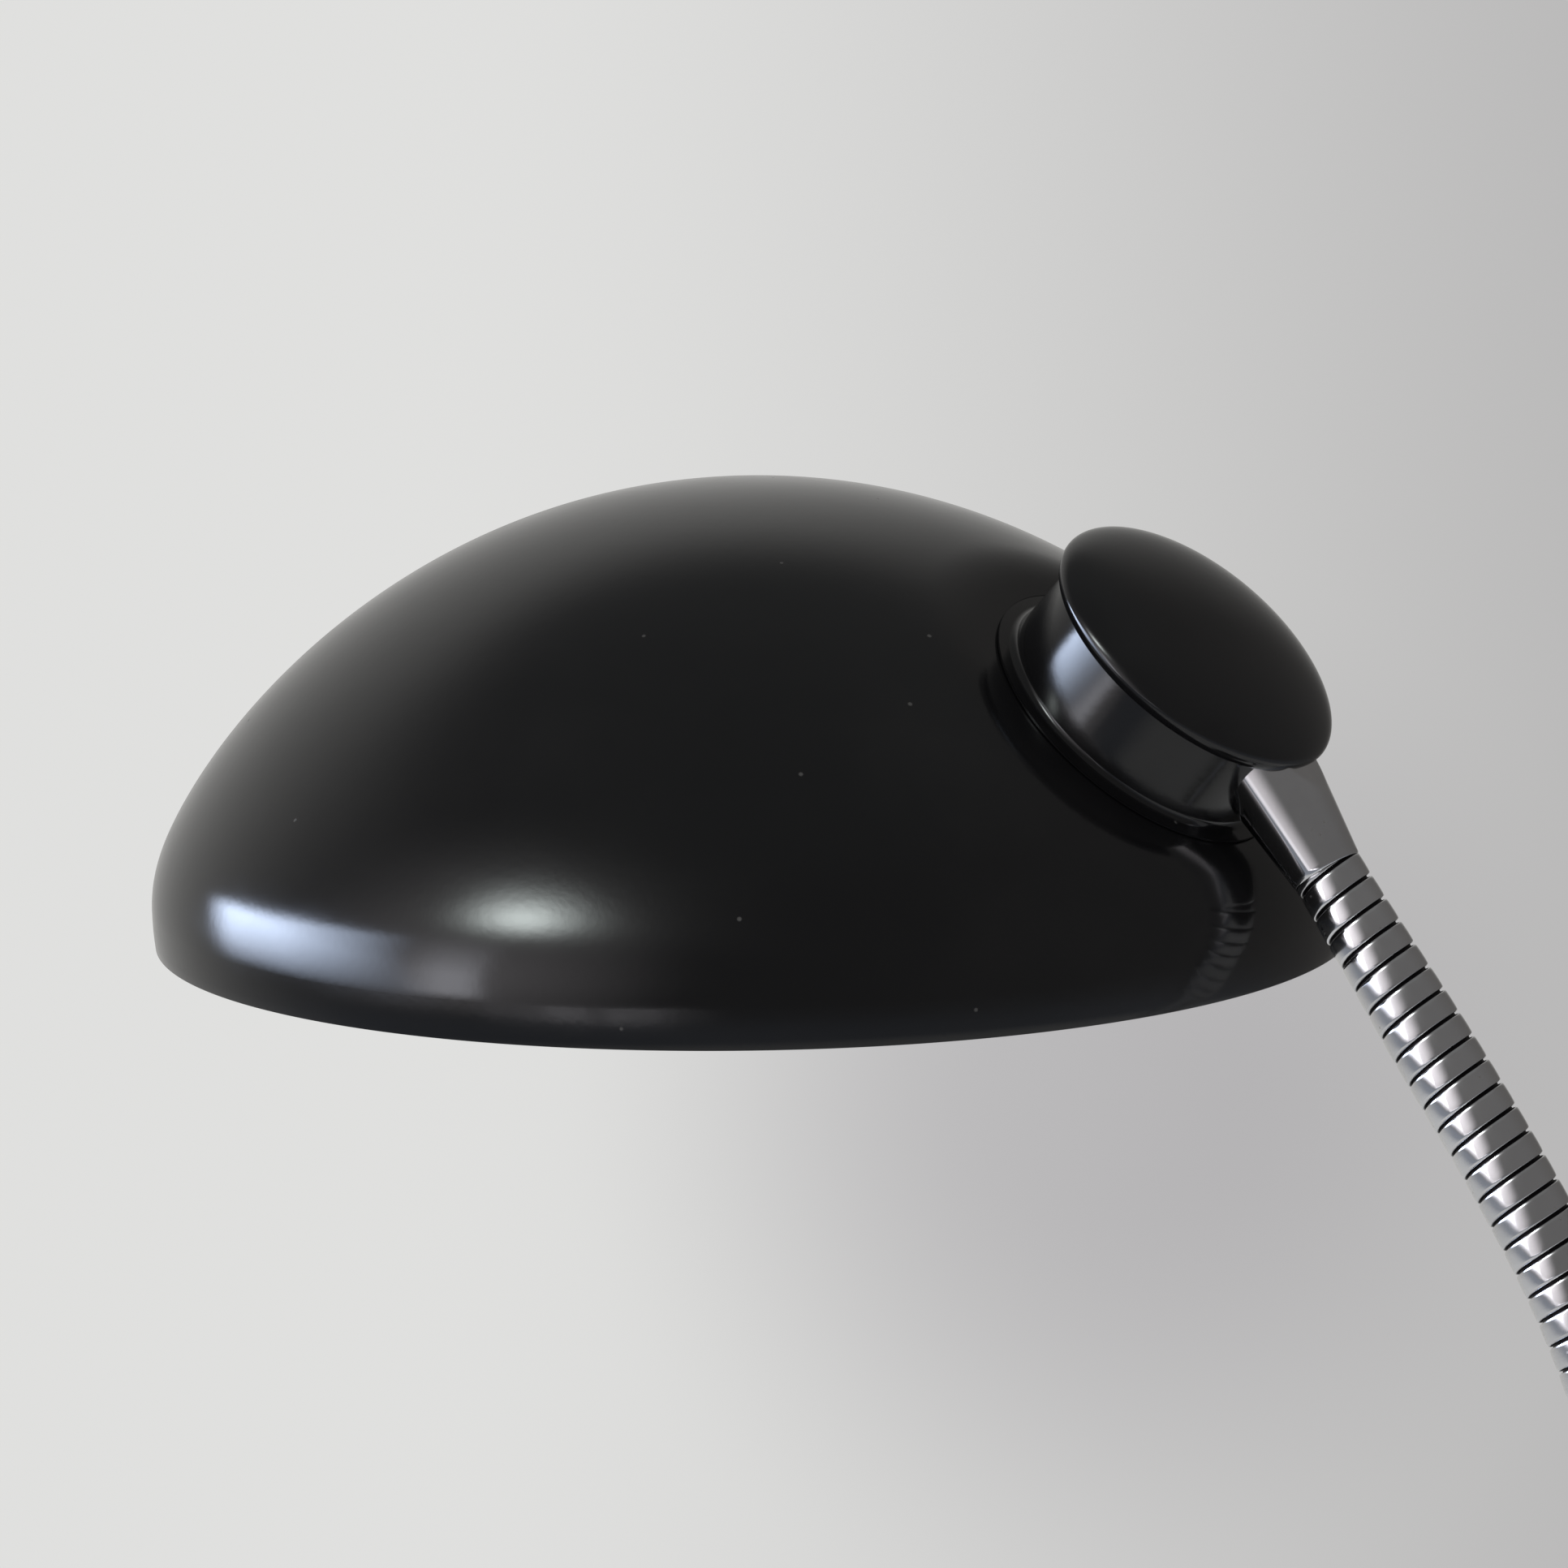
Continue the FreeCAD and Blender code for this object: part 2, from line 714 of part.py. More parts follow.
def head_fittings():
    """Ferrule shaped to neck and cap and filed level on top, and the tube and nut that hold it."""
    axis = toward(entry_direction())
    start = V(0, 0, -arm_entry_drop)
    tip = arm_entry_reach + ferrule_length
    foot = neck_radius - ferrule_foot_radius - tip
    lip_shape = crown_solid(cap_radius + saddle_fit, cap_crown, 0, -cap_lip)
    head_ferrule = placed(ferrule(foot), start + entry_direction() * tip, axis)
    filed = tube(tip, 0, 0, ferrule_foot_radius)
    head_ferrule = head_ferrule.cut(neck_envelope(saddle_fit)).cut(lip_shape).cut(filed)
    nut_low = neck_radius - neck_wall - head_nut_depth
    nut = hexagon(head_nut_flats, nut_low, neck_foot_radius)
    nut = nut.cut(tube(nipple_radius + nipple_fit, 0, nut_low - overrun, neck_foot_radius + overrun))
    nut = placed(nut, start, axis).common(neck_hollow())
    nipple = tube(nipple_radius, nipple_bore_radius, nut_low - head_nipple_stub,
                  arm_entry_reach + nipple_grip)
    return {"head_ferrule": head_ferrule, "head_nut": nut, "head_nipple": placed(nipple, start, axis)}


def lampholder_parts():
    """Hood, threaded barrel, insert, screw shell and centre contact."""
    parts = {}
    shelf = -neck_length + neck_wall
    top = shelf + shoulder_depth
    low = -neck_length - barrel_length
    bore = barrel_radius - barrel_wall
    body = turned([(bore, top), (shoulder_radius, top), (shoulder_radius, shelf),
                   (barrel_radius, shelf), (barrel_radius, low), (bore - barrel_lip, low),
                   (bore - barrel_lip, low + barrel_lip_depth), (bore, low + barrel_lip_depth)])
    parts["lampholder_body"] = body
    hood_radius = barrel_radius - hood_inset
    hood_top = top + hood_height
    hood = hood_solid(hood_radius, hood_top, top)
    hood = hood.cut(hood_solid(hood_radius - hood_wall, hood_top - hood_wall, top))
    parts["lampholder_hood"] = hood.cut(tube(hood_eye_radius, 0, top, hood_top + overrun))
    insert_radius = bore - insert_fit
    insert_low = top - insert_depth
    skirt_radius = thread_shell_radius + insert_fit
    skirt_low = insert_low - insert_skirt
    parts["lampholder_insert"] = turned([(0, top), (insert_radius, top), (insert_radius, skirt_low),
                                         (skirt_radius, skirt_low), (skirt_radius, insert_low),
                                         (0, insert_low)])
    thread_bore = thread_shell_radius - thread_shell_wall
    thread_low = insert_low - thread_shell_length
    parts["lampholder_thread"] = tube(thread_shell_radius, thread_bore, thread_low, insert_low)
    parts["lampholder_contact"] = tube(contact_radius, 0, insert_low - contact_depth, insert_low)
    return parts, insert_low - contact_depth


def hood_solid(radius, top, bottom):
    """Half-round hood over a flat bottom."""
    height = top - bottom
    bend = math.sqrt(0.5)
    flat = radius - height
    side = arc((radius, bottom), (flat + height * bend, bottom + height * bend), (flat, top))
    return revolved([line((0, bottom), (radius, bottom)), side, line((flat, top), (0, top)),
                     line((0, top), (0, bottom))])


def bulb_parts(contact):
    """Screw cap, hollow glass globe and filament, hanging below the centre contact."""
    thread_low = contact - bulb_thread_length
    inside = bulb_thread_radius - bulb_thread_wall
    underside = contact - bulb_thread_wall
    cap = turned([(0, contact), (bulb_tip_radius, contact),
                  (bulb_thread_radius, contact - bulb_tip_depth), (bulb_thread_radius, thread_low),
                  (inside, thread_low), (inside, underside - bulb_tip_depth),
                  (bulb_tip_radius, underside), (0, underside)])
    glass = globe(thread_low, contact, 0).cut(globe(thread_low, contact, bulb_wall))
    glass = glass.cut(tube(bulb_radius, 0, thread_low, contact))
    return {"bulb_cap": cap, "bulb_glass": glass, "bulb_filament": filament(underside, thread_low)}


def globe(top, contact, inset):
    """Filled globe with a neck that rises to the screw cap, all inset by a wall."""
    centre = contact - bulb_length + bulb_radius
    radius = bulb_radius - inset
    neck = bulb_collar_radius - inset
    join = math.sqrt(radius * radius - neck * neck)
    ball = Part.makeSphere(radius, V(0, 0, centre))
    stalk_top = top + (overrun if inset else 0)
    return ball.fuse(tube(neck, 0, centre + join - bulb_wall, stalk_top))


def filament(top, thread_low):
    """Two leads from the screw cap and the half-turn of wire between them, as one round wire."""
    low = thread_low - filament_lead
    half = filament_span / 2
    path = Part.Wire([Part.makeLine(V(-half, 0, top), V(-half, 0, low)),
                      Part.Arc(V(-half, 0, low), V(0, 0, low - half), V(half, 0, low)).toShape(),
                      Part.makeLine(V(half, 0, low), V(half, 0, top))])
    ring = Part.Wire(Part.makeCircle(filament_radius, V(-half, 0, top), V(0, 0, 1)))
    return path.makePipeShell([ring], True, False)


def shade_fixings():
    """Washer and threaded ring that clamp the shade under the neck."""
    bore = barrel_radius + thread_fit
    shade_low = -neck_length - swivel_gap - shade_wall
    washer_top = shade_low - swivel_gap
    ring_top = washer_top - washer_depth
    return {"shade_washer": tube(washer_radius, bore, ring_top, washer_top),
            "shade_ring": tube(ring_radius, bore, ring_top - ring_depth, ring_top)}


def head_parts(cap_centre):
    """Everything that is fixed to the head end of the arm, in its place."""
    lampholder, contact = lampholder_parts()
    parts = {"housing_cap": housing_cap(), "housing_neck": housing_neck()}
    parts.update(head_fittings())
    parts.update(lampholder)
    parts.update(bulb_parts(contact))
    parts.update(shade_fixings())
    place = FreeCAD.Placement(cap_centre, FreeCAD.Rotation(V(0, 1, 0), housing_tilt))
    for shape in parts.values():
        shape.Placement = place.multiply(shape.Placement)
    return parts


def housing_axis():
    """Direction of the housing's axis, out of its cap."""
    tilt = math.radians(housing_tilt)
    return V(math.sin(tilt), 0, math.cos(tilt))


def shade(cap_centre):
    """Spun shade with a flat for the neck and a hole for the lampholder."""
    axis = housing_axis()
    form = dome_form(shade_radius, shade_height, shade_waist, shade_tuck, shade_crown_foot, shade_wall)
    reach, height = dome_point(form, dome_station(form, shade_radius - seat_inset))
    seat = V(reach, 0, height - seat_drop)
    shell = dome_shell(form, [(seat, axis)])
    hole = tube(barrel_radius + shade_hole_gap, 0, -shade_wall - overrun, overrun)
    shell = shell.cut(placed(hole, seat, toward(axis)))
    return placed(shell, cap_centre - axis * (neck_length + swivel_gap) - seat)


def main():
    """Build every piece, report on it and write one file for each."""
    parts, base_top = base_parts()
    junctions = arm_junctions(V(0, 0, base_top + ferrule_length))
    parts.update(gooseneck_links(junctions))
    axis_crossing = junctions[-1] + arm_direction(arm_lean) * (ferrule_length + arm_entry_reach)
    cap_centre = axis_crossing + housing_axis() * arm_entry_drop
    parts.update(head_parts(cap_centre))
    parts["shade"] = shade(cap_centre)
    os.makedirs("parts", exist_ok=True)
    for name, shape in parts.items():
        if not shape.isValid():
            print("not valid:", name)
        shape.exportStep(f"parts/{name}.step")
        box = shape.BoundBox
        spans = [(box.XMin, box.XMax), (box.YMin, box.YMax), (box.ZMin, box.ZMax)]
        text = ", ".join(f"{low:.1f} to {high:.1f}" for low, high in spans)
        print(f"{name}: {len(shape.Solids)} solid, {shape.Volume:.0f} mm3, {text}")
    print("cap centre", cap_centre, "arm end", junctions[-1], "nodes", len(parts))


main()
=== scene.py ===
import json
import math

import bmesh
import bpy
from mathutils import Matrix, Vector

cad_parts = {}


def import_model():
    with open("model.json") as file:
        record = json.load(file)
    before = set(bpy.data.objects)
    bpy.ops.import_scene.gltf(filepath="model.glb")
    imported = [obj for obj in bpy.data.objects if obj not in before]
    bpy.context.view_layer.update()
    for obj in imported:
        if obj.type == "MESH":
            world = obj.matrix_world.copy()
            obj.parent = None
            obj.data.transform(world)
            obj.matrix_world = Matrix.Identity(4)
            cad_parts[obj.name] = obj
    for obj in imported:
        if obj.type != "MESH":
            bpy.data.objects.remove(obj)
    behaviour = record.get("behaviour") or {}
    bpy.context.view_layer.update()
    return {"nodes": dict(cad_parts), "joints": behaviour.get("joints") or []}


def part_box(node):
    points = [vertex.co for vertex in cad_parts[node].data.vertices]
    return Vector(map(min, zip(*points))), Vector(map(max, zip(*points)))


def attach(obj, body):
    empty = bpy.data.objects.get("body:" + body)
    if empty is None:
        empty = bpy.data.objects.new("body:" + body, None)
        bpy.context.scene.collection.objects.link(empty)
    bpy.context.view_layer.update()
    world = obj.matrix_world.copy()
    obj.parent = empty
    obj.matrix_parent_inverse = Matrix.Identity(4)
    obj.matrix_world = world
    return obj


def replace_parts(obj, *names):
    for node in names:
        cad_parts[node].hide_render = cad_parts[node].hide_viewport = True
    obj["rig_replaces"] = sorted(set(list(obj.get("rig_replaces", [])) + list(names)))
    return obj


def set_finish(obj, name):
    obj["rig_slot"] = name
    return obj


# Desk lamp dressed around its frame. Metres, +Z up.

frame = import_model()
MM = 0.001

# Meshes: how finely round forms are divided, and how near two points count as one
SHADE_STEPS = 360
SHADE_RINGS = 128
CAP_STEPS = 192
TURN_STEPS = 128
SMALL_STEPS = 96
HOSE_STEPS = 64
CREST_SPACING = 1.5
SHARP_ANGLE = math.radians(38)
FLAT_CORNER = math.radians(165)
STRAIGHT = 1e-6
CORNER_SHARE = 0.45
ON_PLANE = 0.001 * MM
SAME_POINT = 0.0001 * MM


# Places that the frame gives

def corners(node):
    low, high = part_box(node)
    return Vector(low), Vector(high)


shade_low, shade_high = corners("shade")
SHADE_RADIUS = (shade_high.x - shade_low.x) / 2
SHADE_HEIGHT = shade_high.z - shade_low.z
RIM_CENTRE = Vector((shade_low.x + SHADE_RADIUS, 0, shade_low.z))

joint_of = {joint["name"]: joint for joint in frame["joints"]}
swivel = joint_of["shade_swivel"]
HOUSING_AXIS = Vector(swivel["axis"]).normalized()
SHADE_SEAT = Vector(swivel["pos_m"])

# Domes: height of the widest circle, how far the rim tucks in, sheet and outline
SHADE_WAIST = 7.0 * MM
SHADE_TUCK = 0.45 * MM
SHADE_CROWN_FOOT = 10.5 * MM
SHADE_WALL = 1.0 * MM
SHADE_HOLE = 19.8 * MM
BASE_WAIST = 11.0 * MM
BASE_TUCK = 0.3 * MM
BASE_CROWN_FOOT = 15.0 * MM
BASE_WALL = 1.2 * MM
SIDE_EXPONENT = 2.048
CROWN_EXPONENT = 1.381
BEND_SHARE = 0.2
BEND_FULLNESS = 0.7
BEND_STEP = 0.01
PRESS_ROUND = 1.2 * MM
SEAT_SOFTNESS = 1.6 * MM
RIM_ROUND = 0.35 * MM

# Joint housing, from the widest circle of its cap
NECK_LENGTH = 18.2 * MM
NECK_RADIUS = 26.0 * MM
NECK_FOOT = 29.6 * MM
NECK_FOOT_EDGE = 0.6 * MM
NECK_FOOT_LAND = 1.9 * MM
NECK_SPREAD = 0.3 * MM
NECK_WALL = 1.2 * MM
NECK_ROUND = 0.15 * MM
CAP_RADIUS = 28.7 * MM
CAP_CROWN = 8.0 * MM
CAP_LIP = 2.4 * MM
CAP_WALL = 1.5 * MM
CAP_EXPONENT = 1.85
CAP_SEAT = 0.5 * MM
CAP_FIT = 0.1 * MM
SWIVEL_GAP = 0.1 * MM
CAP_CENTRE = SHADE_SEAT + HOUSING_AXIS * (NECK_LENGTH + SWIVEL_GAP)

# Gooseneck and ferrules
ARM_RADIUS = 7.2 * MM
ARM_TIP_RADIUS = 6.35 * MM
ARM_TIP_RUN = 42.0 * MM
ARM_BORE = 2.8 * MM
BAND_PITCH = 4.7 * MM
LINK_LENGTH = 4 * BAND_PITCH
LINK_COUNT = 18
ENTRY_ANGLE = math.radians(12.5)
ENTRY_REACH = 27.8 * MM
ENTRY_DROP = 0.8 * MM
FERRULE_LENGTH = 17.6 * MM
FERRULE_FOOT = 8.5 * MM
FERRULE_TIP = 6.4 * MM
FERRULE_EDGE = 0.4 * MM
FERRULE_ROWS = 28
FILED_SOFTNESS = 0.3 * MM
NECK_SADDLE = 25.9 * MM
NIPPLE_RADIUS = 5.0 * MM
NIPPLE_GRIP = 11.0 * MM
HELIX_HAND = 1

# Ball on each joint of the hose, and the socket that it turns in
PIVOT_FIT = 0.1 * MM
PIVOT_FOOT = 0.3 * MM
PIVOT_RISE = 1.3 * MM
SOCKET_FIT = 0.04 * MM
SOCKET_DEPTH = 2.6 * MM

# One band of the hose, from the groove's middle to the band's: (share of the pitch, share of the depth)
GROOVE_DEPTH = 0.9 * MM
GROOVE_SHARES = ((0.0, 1.0), (0.04, 1.0), (0.052, 0.55), (0.07, 0.22), (0.1, 0.09), (0.18, 0.04),
                 (0.34, 0.01), (0.5, 0.0))

# Lampholder, ring and bulb
BARREL_RADIUS = 19.5 * MM
RING_RADIUS = 27.0 * MM
RING_DEPTH = 5.0 * MM
RING_ROUND = 0.8 * MM
RING_FIT = 0.1 * MM
RING_FLUTES = 30
FLUTE_LAND = 1.5 * MM
FLUTE_SHARE = 0.018
BULB_RADIUS = 22.5 * MM
BULB_COLLAR = 12.6 * MM
BULB_TOP_SHARE = 0.3

# Base and switch
BASE_SEAT_DROP = 0.4 * MM
INLET_RADIUS = 4.75 * MM
SWITCH_HOLE = 6.1 * MM
SWITCH_RING_RADIUS = 8.6 * MM
SWITCH_RING_DEPTH = 2.0 * MM
SWITCH_RING_ROUND = 0.4 * MM
KNURL_COUNT = 48
KNURL_LAND = 0.6 * MM
KNURL_SHARE = 0.012
BUTTON_RADIUS = 4.0 * MM
BUTTON_DEPTH = 6.0 * MM
BUTTON_HEIGHT = 5.6 * MM
BUTTON_ROUND = 1.0 * MM

# Camera: found by fitting the shade's outline in the photograph, angles in degrees
PHOTO_SIDE = 1932
CAMERA_AZIMUTH = 33.5
CAMERA_ELEVATION = 10.87
CAMERA_ROLL = 0.0157
CAMERA_DISTANCE = 1.210
FOCAL_PIXELS = 8122
RIM_PIXEL_X = 930.19
RIM_PIXEL_Y = 1142.24
SENSOR = 36.0

# Backdrop that the camera sees: it darkens to the right, towards the floor and in a faint shadow
PALE = (0.745, 0.745, 0.735)
DUSK = (0.467, 0.462, 0.462)
LOW_PALE = (0.72, 0.725, 0.73)
LOW_DUSK = (0.4, 0.415, 0.435)
DUSK_EDGE = (-0.06, 0.17)
LOW_EDGE = (-0.19, -0.3)
SHADOW = (0.3, 0.285, 0.31)
SHADOW_ACROSS = 0.052
SHADOW_HEIGHT = -0.025
SHADOW_EDGE = (0.015, 0.085)
SHADOW_STRENGTH = 0.42

# Room that surfaces see. An aim is an azimuth, an elevation and a roll in degrees. An edge is where a
# patch begins and where it is full, as a sine of the angle from its aim.
FALLING_LIGHT = (1.0, 1.0, 0.99)
FALLING_SHARE = 0.68
AHEAD_EDGE = (0.3, 0.5)
FRONT_WALL = (0.15, 0.147, 0.145)
FRONT_FLOOR = (0.26, 0.28, 0.32)
FRONT_EDGE = (-0.36, -0.2)
BACK_WALL = (0.56, 0.555, 0.54)
BACK_WAY = (-0.548, 0.831, 0)
BACK_EDGE = (-0.25, 0.8)
BACK_TOP = (0.1, 0.1, 0.1)
BACK_TOP_EDGE = (0.55, 0.95)
SIDE_WALL = (0.13, 0.125, 0.12)
SIDE_WAY = (0.834, 0.552, 0)
SIDE_EDGE = (-0.05, 0.6)
CEILING = (0.18, 0.183, 0.18)
CEILING_EDGE = (0.7, 0.95)
LIT_WALL = (1.45, 1.38, 1.42)
LIT_WALL_AIM = (-24, 10)
LIT_WALL_EDGE = (0.66, 1.0)
LIT_WALL_FALL = 2.0
LIT_WALL_FOOT = (-0.3, -0.2)
SILL = (1.9, 1.85, 1.95)
SILL_AIM = (3, -14.5, 0)
SILL_LEFT = (-0.42, -0.2)
SILL_RIGHT = (0.42, 0.15)
SILL_FOOT = (-0.06, -0.01)
SILL_TOP = (0.08, 0.02)
SILL_CLUTTER = (0.38, 0.56, 0.3, 1.0)
LAMP = (17.6, 19.2, 18.8)
LAMP_AIM = (-18, 38.3, 14)
LAMP_SPREAD = (0.12, 0.075)
LAMP_FALL = 0.5
GLOW = (1.3, 1.3, 1.28)
GLOW_FALL = 0.87
PANE = (4.9, 4.9, 5.3)
PANE_AIM = (-24.5, 3, 0)
PANE_LEFT = (-0.24, -0.02)
PANE_RIGHT = (0.14, 0.05)
PANE_FOOT = (-0.26, -0.14)
PANE_TOP = (0.42, 0.05)
WINDOW = (13.9, 16.3, 21.0)
WINDOW_AIM = (-70, 5, 17)
WINDOW_LEFT = (-0.4, -0.2)
WINDOW_RIGHT = (0.58, 0.05)
WINDOW_TOP = (0.195, 0.13)
WINDOW_FOOT = (-0.29, 0.1)
WINDOW_SLANT = 0.36

# Floor
FLOOR_RADIUS = 0.8
FLOOR_FADE = 0.45
FLOOR_STEPS = 96

HEAD = "head"
BASE = "base"


# Meshes

def piece(name, verts, faces, body, nodes=(), slot=None):
    """A mesh object that rides on a body and may stand for CAD nodes."""
    mesh = bpy.data.meshes.new(name)
    mesh.from_pydata([tuple(v) for v in verts], [], faces)
    mesh.validate()
    return settle(name, mesh, body, nodes, slot)


def settle(name, mesh, body, nodes, slot):
    """Shade a mesh smoothly, put it in the scene and tie it to its body."""
    work = bmesh.new()
    work.from_mesh(mesh)
    bmesh.ops.recalc_face_normals(work, faces=work.faces)
    work.to_mesh(mesh)
    work.free()
    mesh.shade_smooth()
    mesh.set_sharp_from_angle(angle=SHARP_ANGLE)
    made = bpy.data.objects.new(name, mesh)
    bpy.context.scene.collection.objects.link(made)
    if body:
        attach(made, body)
    if nodes:
        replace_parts(made, *nodes)
    if slot:
        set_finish(made, slot)
    return made


def lathe_mesh(profile, steps, place, ripple=None):
    """Vertices and faces of a closed (radius, height) profile turned about Z, then placed.

    A point on the axis becomes a single vertex. A ripple changes the radius with the angle.
    """
    verts, rings = [], []
    for r, z in profile:
        if r == 0:
            rings.append([len(verts)])
            verts.append(place @ Vector((0, 0, z)))
            continue
        ring = []
        for k in range(steps):
            a = 2 * math.pi * k / steps
            radius = r * (ripple(a, r, z) if ripple else 1)
            ring.append(len(verts))
            verts.append(place @ Vector((radius * math.cos(a), radius * math.sin(a), z)))
        rings.append(ring)
    faces = []
    for low, high in zip(rings, rings[1:] + rings[:1]):
        if len(low) == 1 and len(high) == 1:
            continue
        for k in range(steps):
            after = (k + 1) % steps
            if len(low) == 1:
                faces.append((low[0], high[after], high[k]))
            elif len(high) == 1:
                faces.append((low[k], low[after], high[0]))
            else:
                faces.append((low[k], low[after], high[after], high[k]))
    return verts, faces


def lathe(name, profile, place, body, nodes=(), slot=None, steps=TURN_STEPS, ripple=None):
    """Turned piece."""
    verts, faces = lathe_mesh(profile, steps, place, ripple)
    return piece(name, verts, faces, body, nodes, slot)


def rounded(profile, radius, steps=4):
    """Closed profile with its corners rounded, where the straights beside them have room."""
    points = []
    count = len(profile)
    for k in range(count):
        before, here, after = (Vector(profile[i % count]) for i in (k - 1, k, k + 1))
        back, ahead = before - here, after - here
        if (here.x == 0 or min(back.length, ahead.length) < SAME_POINT
                or back.angle(ahead) > FLAT_CORNER):
            points.append(tuple(here))
            continue
        cut = min(radius, back.length * CORNER_SHARE, ahead.length * CORNER_SHARE)
        a, b = here + back.normalized() * cut, here + ahead.normalized() * cut
        for step in range(steps + 1):
            t = step / steps
            points.append(tuple(a * (1 - t) ** 2 + here * 2 * t * (1 - t) + b * t ** 2))
    return points


def arc_points(centre, radius, start, end, steps):
    """Points of an arc in a profile, its angles in degrees from the radial direction."""
    points = []
    for k in range(steps + 1):
        a = math.radians(start + (end - start) * k / steps)
        points.append((centre[0] + radius * math.cos(a), centre[1] + radius * math.sin(a)))
    return points


def facing(origin, axis, side=Vector((0, 1, 0))):
    """Matrix that takes Z to an axis and Y to a side direction, at an origin."""
    z = axis.normalized()
    x = side.cross(z).normalized()
    y = z.cross(x)
    return Matrix.Translation(origin) @ Matrix((x, y, z)).transposed().to_4x4()


# Domes

def crown_point(form, t):
    """(radius, height) on a dome's crown, the part of its outline above the bend."""
    radius, height, _, _, foot = form
    a = t * math.pi / 2
    r = radius * max(math.cos(a), 0) ** (2 / SIDE_EXPONENT)
    return r, foot + (height - foot) * math.sin(a) ** (2 / CROWN_EXPONENT)


def dome_point(form, t):
    """(radius, height) on a dome's outline: t is -1 at the rim, 0 at its widest, 1 at the top."""
    radius, height, waist, tuck, foot = form
    if t < 0:
        return radius - tuck * t * t, waist * (1 + t)
    if t >= BEND_SHARE:
        return crown_point(form, t)
    r, z = crown_point(form, BEND_SHARE)
    (r0, z0), (r1, z1) = (crown_point(form, BEND_SHARE + step) for step in (-BEND_STEP, BEND_STEP))
    crossing = z - (radius - r) * (z1 - z0) / (r0 - r1)
    poles = ((radius, waist), (radius, waist + BEND_FULLNESS * (crossing - waist)),
             (r + BEND_FULLNESS * (radius - r), z + BEND_FULLNESS * (crossing - z)), (r, z))
    u = t / BEND_SHARE
    weights = ((1 - u) ** 3, 3 * u * (1 - u) ** 2, 3 * u * u * (1 - u), u ** 3)
    return tuple(sum(w * pole[k] for w, pole in zip(weights, poles)) for k in (0, 1))


def dome_sheet(form, seats=(), steps=256, rings=72):
    """Open dome of (radius, height, waist, tuck, crown's foot).

    A flat is pressed at each seat, given as (centre, direction, hole radius).
    """
    height = form[1]
    work = bmesh.new()
    stations = [-1, -0.75, -0.5, -0.25] + [(k / rings) ** CREST_SPACING for k in range(rings + 1)]
    circles = []
    for t in stations:
        r, z = dome_point(form, t)
        if t == 1:
            circles.append([work.verts.new((0, 0, height))])
            continue
        angles = [2 * math.pi * k / steps for k in range(steps)]
        circles.append([work.verts.new((r * math.cos(a), r * math.sin(a), z)) for a in angles])
    for low, high in zip(circles, circles[1:]):
        for k in range(steps):
            after = (k + 1) % steps
            if len(high) == 1:
                work.faces.new((low[k], low[after], high[0]))
            else:
                work.faces.new((low[k], low[after], high[after], high[k]))
    for centre, direction, hole in seats:
        press_flat(work, centre, direction, hole)
    return work


def press_softly(work, centre, direction, width):
    """Lower a dome to a plane, with a wide soft edge round the flat."""
    for v in work.verts:
        rise = (v.co - centre).dot(direction)
        share = min(max(0.5 - rise / (2 * width), 0), 1)
        v.co += direction * (rise * share - width * share * (1 - share) - rise)


def drill(name, centre, direction, radius):
    """Cutter for a round hole."""
    cut = bmesh.new()
    bmesh.ops.create_cone(cut, cap_ends=True, segments=SMALL_STEPS, radius1=radius, radius2=radius,
                          depth=radius * 2, matrix=facing(centre, direction))
    mesh = bpy.data.meshes.new(name)
    cut.to_mesh(mesh)
    cut.free()
    cutter = bpy.data.objects.new(name, mesh)
    bpy.context.scene.collection.objects.link(cutter)
    return cutter


def press_flat(work, centre, direction, hole):
    """Cut a dome at a plane, close it with a flat ring round a hole, and round the crease."""
    geometry = work.verts[:] + work.edges[:] + work.faces[:]
    bmesh.ops.bisect_plane(work, geom=geometry, dist=SAME_POINT, plane_co=centre,
                           plane_no=direction, clear_outer=True)
    near = [e for e in work.edges if e.is_boundary
            and all(abs((v.co - centre).dot(direction)) < ON_PLANE for v in e.verts)]
    place = facing(centre, direction)
    inward = place.inverted()
    inner = {}
    middle = {}
    for edge in near:
        for v in edge.verts:
            if v in inner:
                continue
            flat = inward @ v.co
            outline = Vector((flat.x, flat.y, 0))
            target = outline.normalized() * hole
            inner[v] = work.verts.new(place @ target)
            middle[v] = work.verts.new(place @ outline.lerp(target, 0.5))
    for edge in near:
        a, b = edge.verts
        if (a.co - centre).cross(b.co - centre).dot(direction) < 0:
            a, b = b, a
        work.faces.new((a, b, middle[b], middle[a]))
        work.faces.new((middle[a], middle[b], inner[b], inner[a]))
    work.normal_update()
    bmesh.ops.bevel(work, geom=near, offset=PRESS_ROUND, segments=4, profile=0.5, affect="EDGES",
                    clamp_overlap=True)


